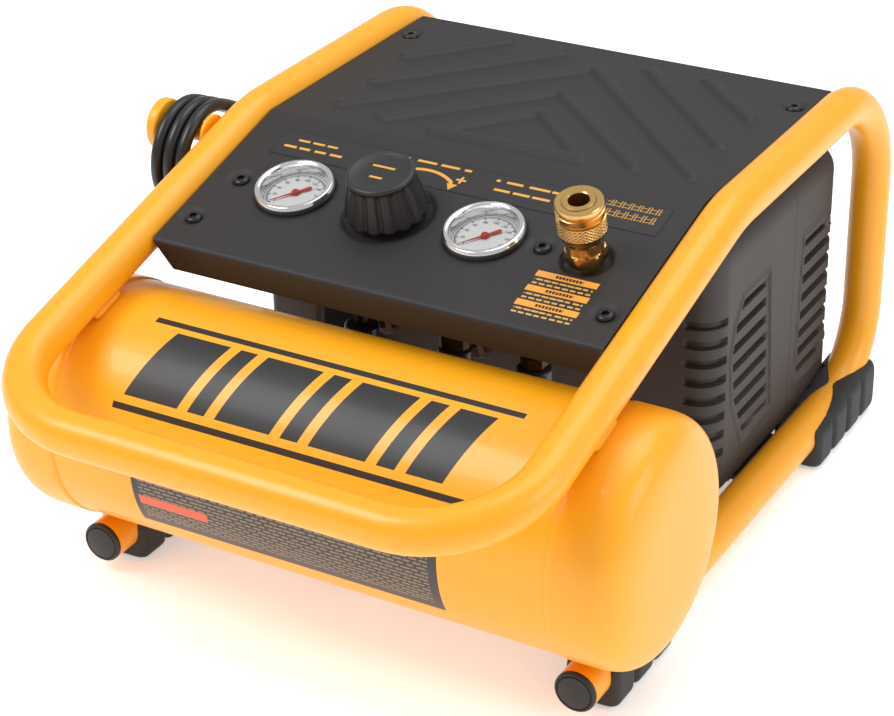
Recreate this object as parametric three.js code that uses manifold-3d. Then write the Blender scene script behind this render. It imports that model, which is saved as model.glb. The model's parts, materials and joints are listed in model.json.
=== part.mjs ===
// Hand-carry air compressor: a small horizontal tank in a bent-tube roll frame, with a sheet
// console over the tank, a louvred cowl around an oil-free motor pump, and a cord wrap post.
// Millimetres, +Z up, -Y towards the front, X across. The assembly is modelled about the tank's
// axis (y = 0) and the frame's middle plane (x = 0), then moved so that the origin lies under
// the middle of the bounding box, on the floor.
import * as THREE from 'three';
import { mergeVertices } from 'three/addons/utils/BufferGeometryUtils.js';
import Module from 'manifold-3d';

const wasm = await Module();
wasm.setup();

// ---- Driving dimensions -------------------------------------------------------------------
const GAP = 0.3;                    // between pieces that touch
const SHIFT = [4, -113.2];          // from the modelling axes to the part's origin

const TUBE = { r: 11.1, wall: 1.6 };
const RAIL_X = 140.7;               // middle plane of each side of the frame
const RAIL_LOW_Z = 17.9;
const RAIL_TOP_Z = 204;
const RAIL_FRONT_Y = -29;
const REAR_Y = 337.7;
const KNEE_Y = 132.7;
const BAR = { y: -111.3, z: 140.4 };  // front crossbar
const BEND = { low: 50, top: 62, knee: 100, front: 55 };

const TANK = { r: 62.6, wall: 2, z: 92.4, half: 139.6, headR: 63.1, headX: 139.9, domeX: 149.9, end: 180.5 };
const DRAIN_Y = 22;
const PORT = { y: 52, top: 140, r: 9, bore: 4.5 };
const PORT_X = { outlet: -25, check: 30, relief: 75 };

const PLATE = { half: 129, thick: 2, rearY: 298, rearDrop: 37, slope: 118, lip: 17.5, lipTaper: 9 };
const PLATE_KNEE = { y: 132.2, z: 207.9 };
const SLOPE = Math.atan2(RAIL_TOP_Z - BAR.z, KNEE_Y - BAR.y);

const ROW = 59;                     // controls' distance down the slope from the knee
const GAUGE = { r: 20, depth: 22, proud: 5 };
const GAUGE_X = { tank: -77.5, outlet: 34.7 };
const KNOB = { x: -21.4, base: 22.4, top: 17, h: 26 };
const COUPLER = { x: 92, s: 60, hex: 11, sleeve: 12.3, top: 37.5 };
const MANIFOLD = { depth: 29, size: 20, x0: -98, x1: 108 };

const COWL = { x0: -88, x1: 129, y0: 152, split: 255.8, y1: 322, z0: 24, z1: 170, r: 16, wall: 2.5 };
const SHAFT = { y: 240, z: 92, r: 7 };
const THROW = 6;                    // crank radius
const FAN_BLADES = 7;
const PUMP_X = -16;                 // cylinder's middle

const SWITCH = { y: 143, z: 116.5, rest: 0.24 };

const POST = { y: 110, z: 197, r: 5.2, collar: 11, flange: 14.5 };
const CORD = { d: 7.2, x: -168.4, width: 23, bend: 29, front: [118, 179], rear: [250, 112] };

// ---- Materials ----------------------------------------------------------------------------
const paint = (color, roughness, metalness) => ({ color, roughness, metalness });
const LOOK = {
  yellow: paint(0xf2a900, 0.38, 0.0),
  powder: paint(0x1d1b1b, 0.6, 0.0),
  cowl: paint(0x2e2a2a, 0.55, 0.0),
  rubber: paint(0x1b1b1c, 0.8, 0.0),
  plastic: paint(0x151515, 0.5, 0.0),
  white: paint(0xf4f4f0, 0.5, 0.0),
  glass: paint(0xdfe8ea, 0.05, 0.0),
  red: paint(0xc62a1c, 0.5, 0.0),
  chrome: paint(0xc9ccd0, 0.25, 1.0),
  brass: paint(0xb98f45, 0.3, 1.0),
  alloy: paint(0xa9abad, 0.45, 1.0),
  steel: paint(0x777a7d, 0.4, 1.0),
  copper: paint(0xb0623a, 0.35, 1.0),
};

// ---- Solids -------------------------------------------------------------------------------
function toSolid(geometry) {
  const bare = geometry.index ? geometry.toNonIndexed() : geometry.clone();
  bare.deleteAttribute('normal');
  bare.deleteAttribute('uv');
  const merged = mergeVertices(bare, 1e-4);
  return new wasm.Manifold(new wasm.Mesh({
    numProp: 3,
    vertProperties: new Float32Array(merged.attributes.position.array),
    triVerts: new Uint32Array(merged.index.array),
  }));
}

function toGeometry(solid) {
  const mesh = solid.getMesh();
  const geometry = new THREE.BufferGeometry();
  geometry.setAttribute('position', new THREE.BufferAttribute(new Float32Array(mesh.vertProperties), 3));
  geometry.setIndex(new THREE.BufferAttribute(new Uint32Array(mesh.triVerts), 1));
  return geometry;
}

function combine(base, { add = [], cut = [] }) {
  let solid = toSolid(base);
  for (const piece of add) solid = solid.add(toSolid(piece));
  for (const piece of cut) solid = solid.subtract(toSolid(piece));
  return toGeometry(solid);
}

const at = (geometry, x, y, z) => geometry.translate(x, y, z);

// A box between two corners.
function block(x0, x1, y0, y1, z0, z1) {
  return at(new THREE.BoxGeometry(x1 - x0, y1 - y0, z1 - z0), (x0 + x1) / 2, (y0 + y1) / 2, (z0 + z1) / 2);
}

// A turned solid about +Z from a closed or axis-to-axis profile of [radius, height] pairs.
function turned(profile, sides = 16) {
  return new THREE.LatheGeometry(profile.map(([r, z]) => new THREE.Vector2(r, z)), sides).rotateX(Math.PI / 2);
}

// A round bar about +Z, from z0 to z1.
const rod = (r, z0, z1, sides = 16) => turned([[0, z0], [r, z0], [r, z1], [0, z1]], sides);

// A round bar about +X, from x0 to x1.
const rodX = (r, x0, x1, y, z, sides = 16) => at(rod(r, x0, x1, sides).rotateY(Math.PI / 2), 0, y, z);

// A ring about +Z.
const ring = (r0, r1, z0, z1, sides = 20) => turned([[r0, z0], [r1, z0], [r1, z1], [r0, z1], [r0, z0]], sides);

// A rounded rectangle in XY, extruded from z0 to z1.
function roundedBlock(x0, x1, y0, y1, z0, z1, r, steps = 4) {
  const s = new THREE.Shape();
  s.moveTo(x0 + r, y0);
  s.lineTo(x1 - r, y0);
  s.absarc(x1 - r, y0 + r, r, -Math.PI / 2, 0, false);
  s.lineTo(x1, y1 - r);
  s.absarc(x1 - r, y1 - r, r, 0, Math.PI / 2, false);
  s.lineTo(x0 + r, y1);
  s.absarc(x0 + r, y1 - r, r, Math.PI / 2, Math.PI, false);
  s.lineTo(x0, y0 + r);
  s.absarc(x0 + r, y0 + r, r, Math.PI, 1.5 * Math.PI, false);
  return at(new THREE.ExtrudeGeometry(s, { depth: z1 - z0, bevelEnabled: false, curveSegments: steps }), 0, 0, z0);
}

// A YZ outline, extruded along X from x0 to x1.
function profileX(points, x0, x1) {
  const s = new THREE.Shape(points.map(([y, z]) => new THREE.Vector2(y, z)));
  const g = new THREE.ExtrudeGeometry(s, { depth: x1 - x0, bevelEnabled: false, steps: 1 });
  return at(g.rotateX(Math.PI / 2).rotateZ(Math.PI / 2), x0, 0, 0);
}

// ---- Tubes along a route --------------------------------------------------------------------
// The stations of a route of straight runs joined by arcs of the given radii.
function stations(points, radii, arcStep = 0.22, straightStep = 1e9) {
  const out = [points[0].clone()];
  for (let i = 1; i < points.length - 1; i += 1) {
    const corner = points[i];
    const u = points[i - 1].clone().sub(corner).normalize();
    const v = points[i + 1].clone().sub(corner).normalize();
    const angle = u.angleTo(v);
    const turn = Math.PI - angle;
    const reach = radii[i - 1] / Math.tan(angle / 2);
    const start = corner.clone().addScaledVector(u, reach);
    const end = corner.clone().addScaledVector(v, reach);
    const axis = u.clone().add(v).normalize();
    const centre = corner.clone().addScaledVector(axis, radii[i - 1] / Math.sin(angle / 2));
    const a = start.clone().sub(centre);
    const b = end.clone().sub(centre);
    const count = Math.max(2, Math.ceil(turn / arcStep));
    for (let j = 0; j <= count; j += 1) {
      const k = j / count;
      const p = a.clone().multiplyScalar(Math.sin((1 - k) * turn) / Math.sin(turn));
      p.addScaledVector(b, Math.sin(k * turn) / Math.sin(turn));
      out.push(p.add(centre));
    }
  }
  out.push(points[points.length - 1].clone());
  const fine = [out[0]];
  for (let i = 1; i < out.length; i += 1) {
    const length = out[i].distanceTo(out[i - 1]);
    if (length < 0.01) continue;
    const count = Math.max(1, Math.round(length / straightStep));
    for (let j = 1; j <= count; j += 1) fine.push(out[i - 1].clone().lerp(out[i], j / count));
  }
  return fine;
}

// A curve that steps through its stations, so that a sweep puts one section at each.
class StationPath extends THREE.Curve {
  constructor(list) {
    super();
    this.list = list;
  }

  getPoint(t, target = new THREE.Vector3()) {
    const f = Math.min(Math.max(t, 0), 1) * (this.list.length - 1);
    const i = Math.min(Math.floor(f), this.list.length - 2);
    return target.copy(this.list[i]).lerp(this.list[i + 1], f - i);
  }

  getPointAt(u, target) {
    return this.getPoint(u, target);
  }

  getTangentAt(u) {
    const i = Math.round(u * (this.list.length - 1));
    const before = this.list[Math.max(i - 1, 0)];
    const after = this.list[Math.min(i + 1, this.list.length - 1)];
    const here = this.list[i];
    const tangent = new THREE.Vector3();
    if (i > 0) tangent.add(here.clone().sub(before).normalize());
    if (i < this.list.length - 1) tangent.add(after.clone().sub(here).normalize());
    return tangent.normalize();
  }

  getSpacedPoints(count) {
    return Array.from({ length: count + 1 }, (_, i) => this.getPoint(i / count));
  }
}

// A tube along stations; with a wall it is open at both ends.
function sweep(list, r, { wall = 0, sides = 12, innerSides = 8 } = {}) {
  const circle = (radius, n) => Array.from({ length: n }, (_, i) => {
    const a = (2 * Math.PI * i) / n;
    return new THREE.Vector2(radius * Math.cos(a), radius * Math.sin(a));
  });
  const shape = new THREE.Shape(circle(r, sides));
  if (wall > 0) shape.holes.push(new THREE.Path(circle(r - wall, innerSides)));
  const path = new StationPath(list);
  return new THREE.ExtrudeGeometry(shape, { steps: list.length - 1, extrudePath: path, bevelEnabled: false });
}

const v3 = (x, y, z) => new THREE.Vector3(x, y, z);

// ---- Assembly -------------------------------------------------------------------------------
const object = new THREE.Group();
const machine = new THREE.Group();
machine.position.set(SHIFT[0], SHIFT[1], 0);
object.add(machine);

// The console's tilted frame: +Y up the slope from the knee, +Z out of the plate.
const slopeGroup = new THREE.Group();
slopeGroup.position.set(0, PLATE_KNEE.y, PLATE_KNEE.z);
slopeGroup.rotation.x = SLOPE;
machine.add(slopeGroup);

function place(name, geometry, look, parent = machine) {
  const mesh = new THREE.Mesh(geometry, new THREE.MeshStandardMaterial(look));
  mesh.name = name;
  parent.add(mesh);
  return mesh;
}

// ---- Roll frame -----------------------------------------------------------------------------
const LEG_SPLIT = 0.62;             // where each side tube meets the front bar, along the leg
function legPoint(k) {
  return { y: KNEE_Y + (BAR.y - KNEE_Y) * k, z: RAIL_TOP_Z + (BAR.z - RAIL_TOP_Z) * k };
}

for (const [side, sx] of [['left', -1], ['right', 1]]) {
  const x = sx * RAIL_X;
  const end = legPoint(LEG_SPLIT);
  const route = stations([
    v3(x, RAIL_FRONT_Y, RAIL_LOW_Z),
    v3(x, REAR_Y, RAIL_LOW_Z),
    v3(x, REAR_Y, RAIL_TOP_Z),
    v3(x, KNEE_Y, RAIL_TOP_Z),
    v3(x, end.y, end.z),
  ], [BEND.low, BEND.top, BEND.knee], 0.27);
  place(`frame_tube_${side}`, sweep(route, TUBE.r, { wall: TUBE.wall, sides: 12, innerSides: 6 }), LOOK.yellow);

  const plug = turned([
    [0, -14], [TUBE.r - TUBE.wall - 2, -14], [TUBE.r - TUBE.wall - 2, GAP], [TUBE.r, GAP],
    [TUBE.r, 2], [TUBE.r - 1, 3], [0, 3.4],
  ], 20).rotateX(Math.PI / 2);
  place(`frame_plug_${side}`, at(plug, x, RAIL_FRONT_Y, RAIL_LOW_Z), LOOK.plastic);
}

{
  const start = legPoint(LEG_SPLIT + 0.0015);
  const route = stations([
    v3(-RAIL_X, start.y, start.z),
    v3(-RAIL_X, BAR.y, BAR.z),
    v3(RAIL_X, BAR.y, BAR.z),
    v3(RAIL_X, start.y, start.z),
  ], [BEND.front, BEND.front], 0.27);
  place('frame_front_bar', sweep(route, TUBE.r, { wall: TUBE.wall, sides: 12, innerSides: 6 }), LOOK.yellow);
}

// ---- Rubber feet ------------------------------------------------------------------------------
const FOOT = { half: 15, front: [-14, 52], rear: [244, 330], notch: 4.5, top: 24 };
function foot(y0, y1, top, lobes) {
  const body = roundedBlock(-FOOT.half, FOOT.half, y0, y1, 0, top, 7, 2);
  const cut = [];
  for (let i = 1; i < lobes; i += 1) {
    const y = y0 + ((y1 - y0) * i) / lobes;
    for (const s of [-1, 1]) cut.push(at(rod(FOOT.notch, -1, top + 1, 6), s * (FOOT.half + 2.2), y, 0));
    cut.push(rodX(FOOT.notch - 1, -20, 20, y, -0.5, 6));
  }
  return { body, cut };
}

for (const [side, sx] of [['left', -1], ['right', 1]]) {
  const x = sx * RAIL_X;
  const saddle = sweep([v3(0, -80, RAIL_LOW_Z), v3(0, 400, RAIL_LOW_Z)], TUBE.r + GAP, { sides: 12 });
  const front = foot(...FOOT.front, FOOT.top, 3);
  const frontTrough = block(-TUBE.r - GAP, TUBE.r + GAP, -80, 400, RAIL_LOW_Z, 60);
  const frontSolid = combine(front.body, { cut: [...front.cut, saddle, frontTrough] });
  place(`foot_front_${side}`, at(frontSolid, x, 0, 0), LOOK.rubber);

  const rear = foot(...FOOT.rear, 34, 4);
  const bend = stations([
    v3(0, 150, RAIL_LOW_Z),
    v3(0, REAR_Y, RAIL_LOW_Z),
    v3(0, REAR_Y, RAIL_TOP_Z),
  ], [BEND.low], 0.27);
  const groove = sweep(bend, TUBE.r + GAP + 0.4, { sides: 12 });
  const opening = sweep(bend.map((p) => v3(0, p.y - 8, p.z + 12)), TUBE.r + GAP + 0.5, { sides: 12 });
  const rearTrough = block(-TUBE.r - GAP, TUBE.r + GAP, 200, 300, RAIL_LOW_Z, 60);
  const inboard = at(block(-20, -TUBE.r, 200, 400, 23.5, 60), 0, 0, 0);
  if (sx < 0) inboard.translate(20 + TUBE.r, 0, 0);
  const rearSolid = combine(rear.body, { cut: [...rear.cut, groove, opening, rearTrough, inboard] });
  place(`foot_rear_${side}`, at(rearSolid, x, 0, 0), LOOK.rubber);
}

// ---- Tank -------------------------------------------------------------------------------------
{
  const shell = at(ring(TANK.r - TANK.wall, TANK.r, -TANK.half, TANK.half, 28).rotateY(Math.PI / 2), 0, 0, TANK.z);
  const add = [];
  const cut = [];
  for (const x of Object.values(PORT_X)) {
    add.push(at(rod(PORT.r, 104, PORT.top, 12), x, PORT.y, 0));
    cut.push(at(rod(PORT.bore, 84, 150, 10), x, PORT.y, 0));
  }
  add.push(at(rod(8, 28, 42, 12), 0, DRAIN_Y, 0));
  cut.push(at(rod(4.2, 20, 50, 10), 0, DRAIN_Y, 0));
  place('tank_shell', combine(shell, { add, cut }), LOOK.yellow);

  // Dished heads: a short skirt, a knuckle and a shallow crown, hollow towards the shell.
  const dome = (radius, x0, depth, sides) => Array.from({ length: sides + 1 }, (_, i) => {
    const t = (Math.PI / 2) * (i / sides);
    return [radius * Math.cos(t) ** 0.55, x0 + depth * Math.sin(t) ** 0.55];
  });
  const outer = dome(TANK.headR, TANK.domeX, TANK.end - TANK.domeX, 4);
  const inner = dome(TANK.headR - TANK.wall, TANK.domeX, TANK.end - TANK.domeX - TANK.wall, 3);
  outer[outer.length - 1][0] = 0;
  inner[inner.length - 1][0] = 0;
  const rim = [[TANK.headR - TANK.wall, TANK.headX], [TANK.headR, TANK.headX]];
  const profile = [...inner.slice().reverse(), ...rim, ...outer];
  const head = turned(profile, 28).rotateY(Math.PI / 2);
  place('tank_head_right', at(head.clone(), 0, 0, TANK.z), LOOK.yellow);
  place('tank_head_left', at(head.clone().rotateZ(Math.PI), 0, 0, TANK.z), LOOK.yellow);
}

// ---- Tank fittings ------------------------------------------------------------------------------
place('drain_valve', at(turned([
  [0, 14.5], [3, 14.5], [3, 17], [6.5, 17], [6.5, 25.7], [3.6, 25.7], [3.6, 31], [0, 31],
], 12), 0, DRAIN_Y, 2), LOOK.brass);
place('drain_knob', at(turned([
  [0, 9.2], [8, 9.2], [9, 10.4], [9, 13], [8, 14.2], [0, 14.2],
], 14), 0, DRAIN_Y, 2), LOOK.brass);

place('check_valve', at(combine(rod(8, PORT.top + GAP, 156, 12), {
  add: [rod(4, 130, PORT.top + 2, 10)],
  cut: [at(rod(2.2, 0, 20, 8).rotateX(-Math.PI / 2), 0, 0, 148)],
}), PORT_X.check, PORT.y, 0), LOOK.brass);

place('relief_valve', at(combine(rod(7, PORT.top + GAP, 146, 6), {
  add: [rod(4, 130, 141, 10), rod(5, 145, 150, 12)],
  cut: [rod(2.4, 144, 160, 10)],
}), PORT_X.relief, PORT.y, 0), LOOK.brass);

place('relief_ring', at(combine(rod(2, 144.4, 153.5, 10), {
  add: [at(new THREE.TorusGeometry(4.5, 1, 5, 12).rotateX(Math.PI / 2), 0, 0, 157.6)],
}), PORT_X.relief, PORT.y, 0), LOOK.chrome);

// ---- Console cover --------------------------------------------------------------------------------
{
  const half = PLATE.half;
  const t = PLATE.thick;
  const d = { y: -Math.cos(SLOPE), z: -Math.sin(SLOPE) };
  const n = { y: -Math.sin(SLOPE), z: Math.cos(SLOPE) };
  const crease = { y: PLATE_KNEE.y + d.y * PLATE.slope, z: PLATE_KNEE.z + d.z * PLATE.slope };
  const lip = { y: crease.y - n.y * PLATE.lip, z: crease.z - n.z * PLATE.lip };
  const outline = [
    [PLATE.rearY, PLATE_KNEE.z - PLATE.rearDrop],
    [PLATE.rearY, PLATE_KNEE.z],
    [PLATE_KNEE.y, PLATE_KNEE.z],
    [crease.y, crease.z],
    [lip.y, lip.z],
    [lip.y - d.y * t, lip.z - d.z * t],
    [crease.y - d.y * t - n.y * t, crease.z - d.z * t - n.z * t],
    [PLATE_KNEE.y, PLATE_KNEE.z - t],
    [PLATE.rearY - t, PLATE_KNEE.z - t],
    [PLATE.rearY - t, PLATE_KNEE.z - PLATE.rearDrop],
  ];
  const sheet = profileX(outline.reverse(), -half, half);
  const cut = [];
  const hole = (x, s, r, sides) => {
    const g = rod(r, -10, 10, sides).rotateX(SLOPE);
    cut.push(at(g, x, PLATE_KNEE.y + d.y * s, PLATE_KNEE.z + d.z * s));
  };
  hole(GAUGE_X.tank, ROW, GAUGE.r - 0.9, 24);
  hole(GAUGE_X.outlet, ROW, GAUGE.r - 0.9, 24);
  hole(KNOB.x, ROW, 16.5, 24);
  hole(COUPLER.x, COUPLER.s, 9, 16);
  for (const sx of [-1, 1]) {
    // The lip's ends taper in, clear of the legs.
    const wedge = new THREE.Shape([
      new THREE.Vector2(half + 5, 0.5), new THREE.Vector2(half, 0.5),
      new THREE.Vector2(half - PLATE.lipTaper, -PLATE.lip - 1), new THREE.Vector2(half + 5, -PLATE.lip - 1),
    ]);
    const g = new THREE.ExtrudeGeometry(wedge, { depth: 12, bevelEnabled: false }).rotateX(Math.PI / 2);
    const m = sx > 0 ? g : g.rotateZ(Math.PI);
    m.translate(0, sx > 0 ? 6 : -6, 0).rotateX(SLOPE);
    cut.push(at(m, 0, crease.y, crease.z));
  }
  place('console_cover', combine(sheet, { cut }), LOOK.powder);
}

// ---- Controls, in the slope's frame ------------------------------------------------------------
function gauge(name, x) {
  const y = -ROW;
  const g = GAUGE;
  place(`${name}_case`, at(turned([
    [0, -g.depth - 6.5], [5, -g.depth - 6.5], [5, -g.depth], [g.r - 2.4, -g.depth + 1], [g.r - 1.2, -g.depth + 3],
    [g.r - 1.2, 1.2], [g.r - 2.6, 1.2], [g.r - 2.6, -3], [0, -3],
  ], 20), x, y, 0), LOOK.plastic, slopeGroup);
  place(`${name}_bezel`, at(turned([
    [g.r - 2.3, 1.5], [g.r + 0.6, 1.5], [g.r + 0.6, 0.4], [g.r + 1.4, 0.4], [g.r + 1.4, 3.4], [g.r + 0.4, g.proud],
    [g.r - 1.6, g.proud], [g.r - 2.3, 4.3], [g.r - 2.3, 1.5],
  ], 20), x, y, 0), LOOK.chrome, slopeGroup);
  place(`${name}_dial`, at(rod(g.r - 2.9, -2.7, -1.9, 20), x, y, 0), LOOK.white, slopeGroup);
  place(`${name}_lens`, at(rod(g.r - 2.6, 1.6, 3.0, 20), x, y, 0), LOOK.glass, slopeGroup);
  const needle = combine(rod(1.9, -1.5, 0.3, 10), {
    add: [block(-0.45, 0.45, -5, 13, -1.2, -0.6)],
  });
  place(`${name}_needle`, at(needle.rotateZ(0.75 * Math.PI), x, y, 0), LOOK.red, slopeGroup);
}
gauge('tank_gauge', GAUGE_X.tank);
gauge('outlet_gauge', GAUGE_X.outlet);

{
  const y = -ROW;
  place('regulator_body', at(turned([
    [0, -MANIFOLD.depth + GAP], [13, -MANIFOLD.depth + GAP], [16, -24], [16, -6],
    [12, -3.5], [5, -3.5], [5, 0], [0, 0],
  ], 20), KNOB.x, y, 0), LOOK.alloy, slopeGroup);

  // A fluted skirt that narrows to a flat cap.
  const flutes = 12;
  const outline = new THREE.Shape(Array.from({ length: flutes * 3 }, (_, i) => {
    const a = (2 * Math.PI * i) / (flutes * 3);
    const r = KNOB.base - (i % 3 === 2 ? 1.5 : 0);
    return new THREE.Vector2(r * Math.cos(a), r * Math.sin(a));
  }));
  const skirt = new THREE.ExtrudeGeometry(outline, { depth: KNOB.h - 2.5, bevelEnabled: false, steps: 1 });
  const position = skirt.attributes.position;
  for (let i = 0; i < position.count; i += 1) {
    const k = 1 - ((1 - KNOB.top / KNOB.base) * position.getZ(i)) / (KNOB.h - 2.5);
    position.setXY(i, position.getX(i) * k, position.getY(i) * k);
  }
  const knob = combine(at(skirt, 0, 0, 2.5), { cut: [rod(14, -1, 8, 20), rod(5.3, 7, 14, 16)] });
  place('regulator_knob', at(knob, KNOB.x, y, 0), LOOK.plastic, slopeGroup);
}

{
  const c = COUPLER;
  const hex = new THREE.CylinderGeometry(c.hex, c.hex, 7, 6).rotateX(Math.PI / 2);
  const body = combine(at(hex, 0, 0, 4), {
    add: [rod(8, -MANIFOLD.depth + GAP, 1, 16), rod(9.6, 7, 12, 16), rod(8.5, 11, c.top - 1.2, 16)],
    cut: [rod(5.2, 8, 60, 12), rod(2.4, -60, 9, 8)],
  });
  place('coupler_body', at(body, c.x, -c.s, 0), LOOK.brass, slopeGroup);
  place('coupler_sleeve', at(turned([
    [8.8, 16.5], [c.sleeve - 1, 16.5], [c.sleeve, 17.5], [c.sleeve, 24], [c.sleeve - 1.2, 25], [c.sleeve - 1.2, 27],
    [c.sleeve, 28], [c.sleeve, 35], [c.sleeve - 1.2, c.top - 1], [8.8, c.top - 1], [8.8, 16.5],
  ], 16), c.x, -c.s, 0), LOOK.brass, slopeGroup);
}

{
  const m = MANIFOLD;
  const bar = block(m.x0, m.x1, -ROW - m.size / 2, -ROW + m.size / 2, -m.depth - m.size, -m.depth);
  place('air_manifold', combine(bar, {
    cut: [
      rodX(4, m.x0 - 1, m.x0 + 20, -ROW, -m.depth - m.size / 2, 8),
      at(rod(3.5, -60, -m.depth - m.size / 2, 8), PORT_X.outlet, -ROW, 0),
    ],
  }), LOOK.alloy, slopeGroup);
}

// ---- Air lines --------------------------------------------------------------------------------
// The manifold's underside, where the line from the tank comes in.
const inlet = v3(PORT_X.outlet, -ROW, -MANIFOLD.depth - MANIFOLD.size - GAP);
inlet.applyAxisAngle(v3(1, 0, 0), SLOPE).add(v3(0, PLATE_KNEE.y, PLATE_KNEE.z));
place('outlet_pipe', sweep(stations([
  v3(PORT_X.outlet, PORT.y, PORT.top + GAP),
  v3(PORT_X.outlet, PORT.y, PORT.top + 11),
  v3(PORT_X.outlet, PORT.y + 17, PORT.top + 11),
  v3(PORT_X.outlet, PORT.y + 23, inlet.z - 24),
  v3(PORT_X.outlet, inlet.y + 3.7, inlet.z - 14),
  inlet,
], [6, 6, 6, 6], 0.9), 4, { wall: 1, sides: 8, innerSides: 5 }), LOOK.copper);
place('transfer_tube', sweep(stations([
  v3(PORT_X.check, PORT.y + 8.3, 148),
  v3(PORT_X.check, 72, 148),
  v3(PORT_X.check, 72, 124),
  v3(PORT_X.check, 122, 124),
  v3(-38, 134, 157),
  v3(-38, 209.7, 157),
], [7, 8, 14, 14], 0.8), 4, { wall: 1, sides: 8, innerSides: 5 }), LOOK.copper);

// ---- Cowl ---------------------------------------------------------------------------------------
const LOUVRES = { count: 8, pitch: 11.2, z0: 44, h: 5 };
function cowlHalf(y0, y1, frontSide) {
  const c = COWL;
  const shape = (inset) => {
    // XZ outline with rounded top corners, extruded along Y.
    const s = new THREE.Shape();
    const x0 = c.x0 + inset;
    const x1 = c.x1 - inset;
    const z1 = c.z1 - inset;
    const r = c.r + 6 - inset;
    s.moveTo(x0, c.z0 - (inset ? 5 : 0));
    s.lineTo(x1, c.z0 - (inset ? 5 : 0));
    s.lineTo(x1, z1 - r);
    s.absarc(x1 - r, z1 - r, r, 0, Math.PI / 2, false);
    s.lineTo(x0 + r, z1);
    s.absarc(x0 + r, z1 - r, r, Math.PI / 2, Math.PI, false);
    return s;
  };
  const run = (inset, a, b) => {
    const g = new THREE.ExtrudeGeometry(shape(inset), { depth: b - a, bevelEnabled: false, curveSegments: 3 });
    return at(g.rotateX(Math.PI / 2), 0, b, 0);
  };
  // The vertical edges are rounded by meeting the box with a rounded plan.
  const plan = (inset) => {
    const lo = frontSide ? y0 + inset : y0 - 60;
    const hi = frontSide ? y1 + 60 : y1 - inset;
    return roundedBlock(c.x0 + inset, c.x1 - inset, lo, hi, -10, 190, c.r - inset, 3);
  };
  const outer = toSolid(run(0, y0, y1)).intersect(toSolid(plan(0)));
  const innerA = frontSide ? y0 + c.wall : y0 - 5;
  const innerB = frontSide ? y1 + 5 : y1 - c.wall;
  const inner = toSolid(run(c.wall, innerA, innerB)).intersect(toSolid(plan(c.wall)));
  let solid = outer.subtract(inner);
  for (let i = 0; i < LOUVRES.count; i += 1) {
    const z = LOUVRES.z0 + i * LOUVRES.pitch;
    const panel = frontSide ? [182, 226] : [270, 302];
    solid = solid.subtract(toSolid(block(c.x1 - 5, c.x1 + 5, ...panel, z, z + LOUVRES.h)));
  }
  if (frontSide) {
    // The transfer tube's way through the front wall.
    const way = at(rod(5.5, -20, 20, 12).rotateX(Math.PI / 2), -38, y0, 157);
    solid = solid.subtract(toSolid(way));
  }
  return toGeometry(solid);
}
place('cowl_front', cowlHalf(COWL.y0, COWL.split - GAP, true), LOOK.cowl);
place('cowl_rear', cowlHalf(COWL.split, COWL.y1, false), LOOK.cowl);

// ---- Motor pump ---------------------------------------------------------------------------------
place('motor_base', combine(block(-125, 125, 185, 298, 16.5, 19.5), {
  add: [block(-129.2, 129.2, 188, 240, 16.5, 19.5), block(-125, -93, 116, 190, 16.5, 19.5)],
}), LOOK.powder);
for (const [i, [x, y]] of [[-60, 205], [-60, 275], [88, 205], [88, 275]].entries()) {
  place(`isolator_${i + 1}`, at(turned([
    [0, 19.8], [9, 19.8], [7, 28], [9, 36], [0, 36],
  ], 12), x, y, 0), LOOK.rubber);
}
place('motor_cradle', combine(block(-72, 100, 194, 286, 36.3, 39.3), {
  add: [block(22, 68, 210, 270, 38, 46.7), block(76, 84, 215, 265, 38, 84)],
  cut: [rodX(SHAFT.r + 1.3, 60, 100, SHAFT.y, SHAFT.z, 16)],
}), LOOK.alloy);

const stator = roundedBlock(-45, 45, -45, 45, 22, 68, 14, 3);
const boredStator = combine(stator, { cut: [rod(27, 0, 90, 24)] }).rotateY(Math.PI / 2);
place('motor_stator', at(boredStator, 0, SHAFT.y, SHAFT.z), LOOK.steel);
place('motor_rotor', at(turned([
  [0, -2], [SHAFT.r, -2], [SHAFT.r, 24], [26.3, 24], [26.3, 66], [SHAFT.r, 66], [SHAFT.r, 112], [0, 112],
], 20).rotateY(Math.PI / 2), 0, SHAFT.y, SHAFT.z), LOOK.steel);

{
  const hub = ring(SHAFT.r + 0.05, 16, 92, 108, 20);
  const add = [];
  for (let i = 0; i < FAN_BLADES; i += 1) {
    const blade = block(14, 52, -1.2, 1.2, -9, 9).rotateX(0.6);
    add.push(at(blade, 0, 0, 100).rotateZ((2 * Math.PI * i) / FAN_BLADES));
  }
  const fan = combine(hub, { add }).rotateY(Math.PI / 2);
  place('cooling_fan', at(fan, 0, SHAFT.y, SHAFT.z), LOOK.plastic);
}

place('crank', combine(rodX(17, -9, -2.3, SHAFT.y, SHAFT.z, 20), {
  add: [rodX(5, -22, -8, SHAFT.y, SHAFT.z - THROW, 16)],
}), LOOK.steel);
place('piston_rod', combine(rodX(10, -21, -11, SHAFT.y, SHAFT.z - THROW, 20), {
  add: [
    block(-20, -12, SHAFT.y - 5, SHAFT.y + 5, SHAFT.z, 128),
    at(rod(15, 127, 133, 20), PUMP_X, SHAFT.y, 0),
  ],
  cut: [rodX(5.15, -30, 0, SHAFT.y, SHAFT.z - THROW, 16)],
}), LOOK.alloy);

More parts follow.
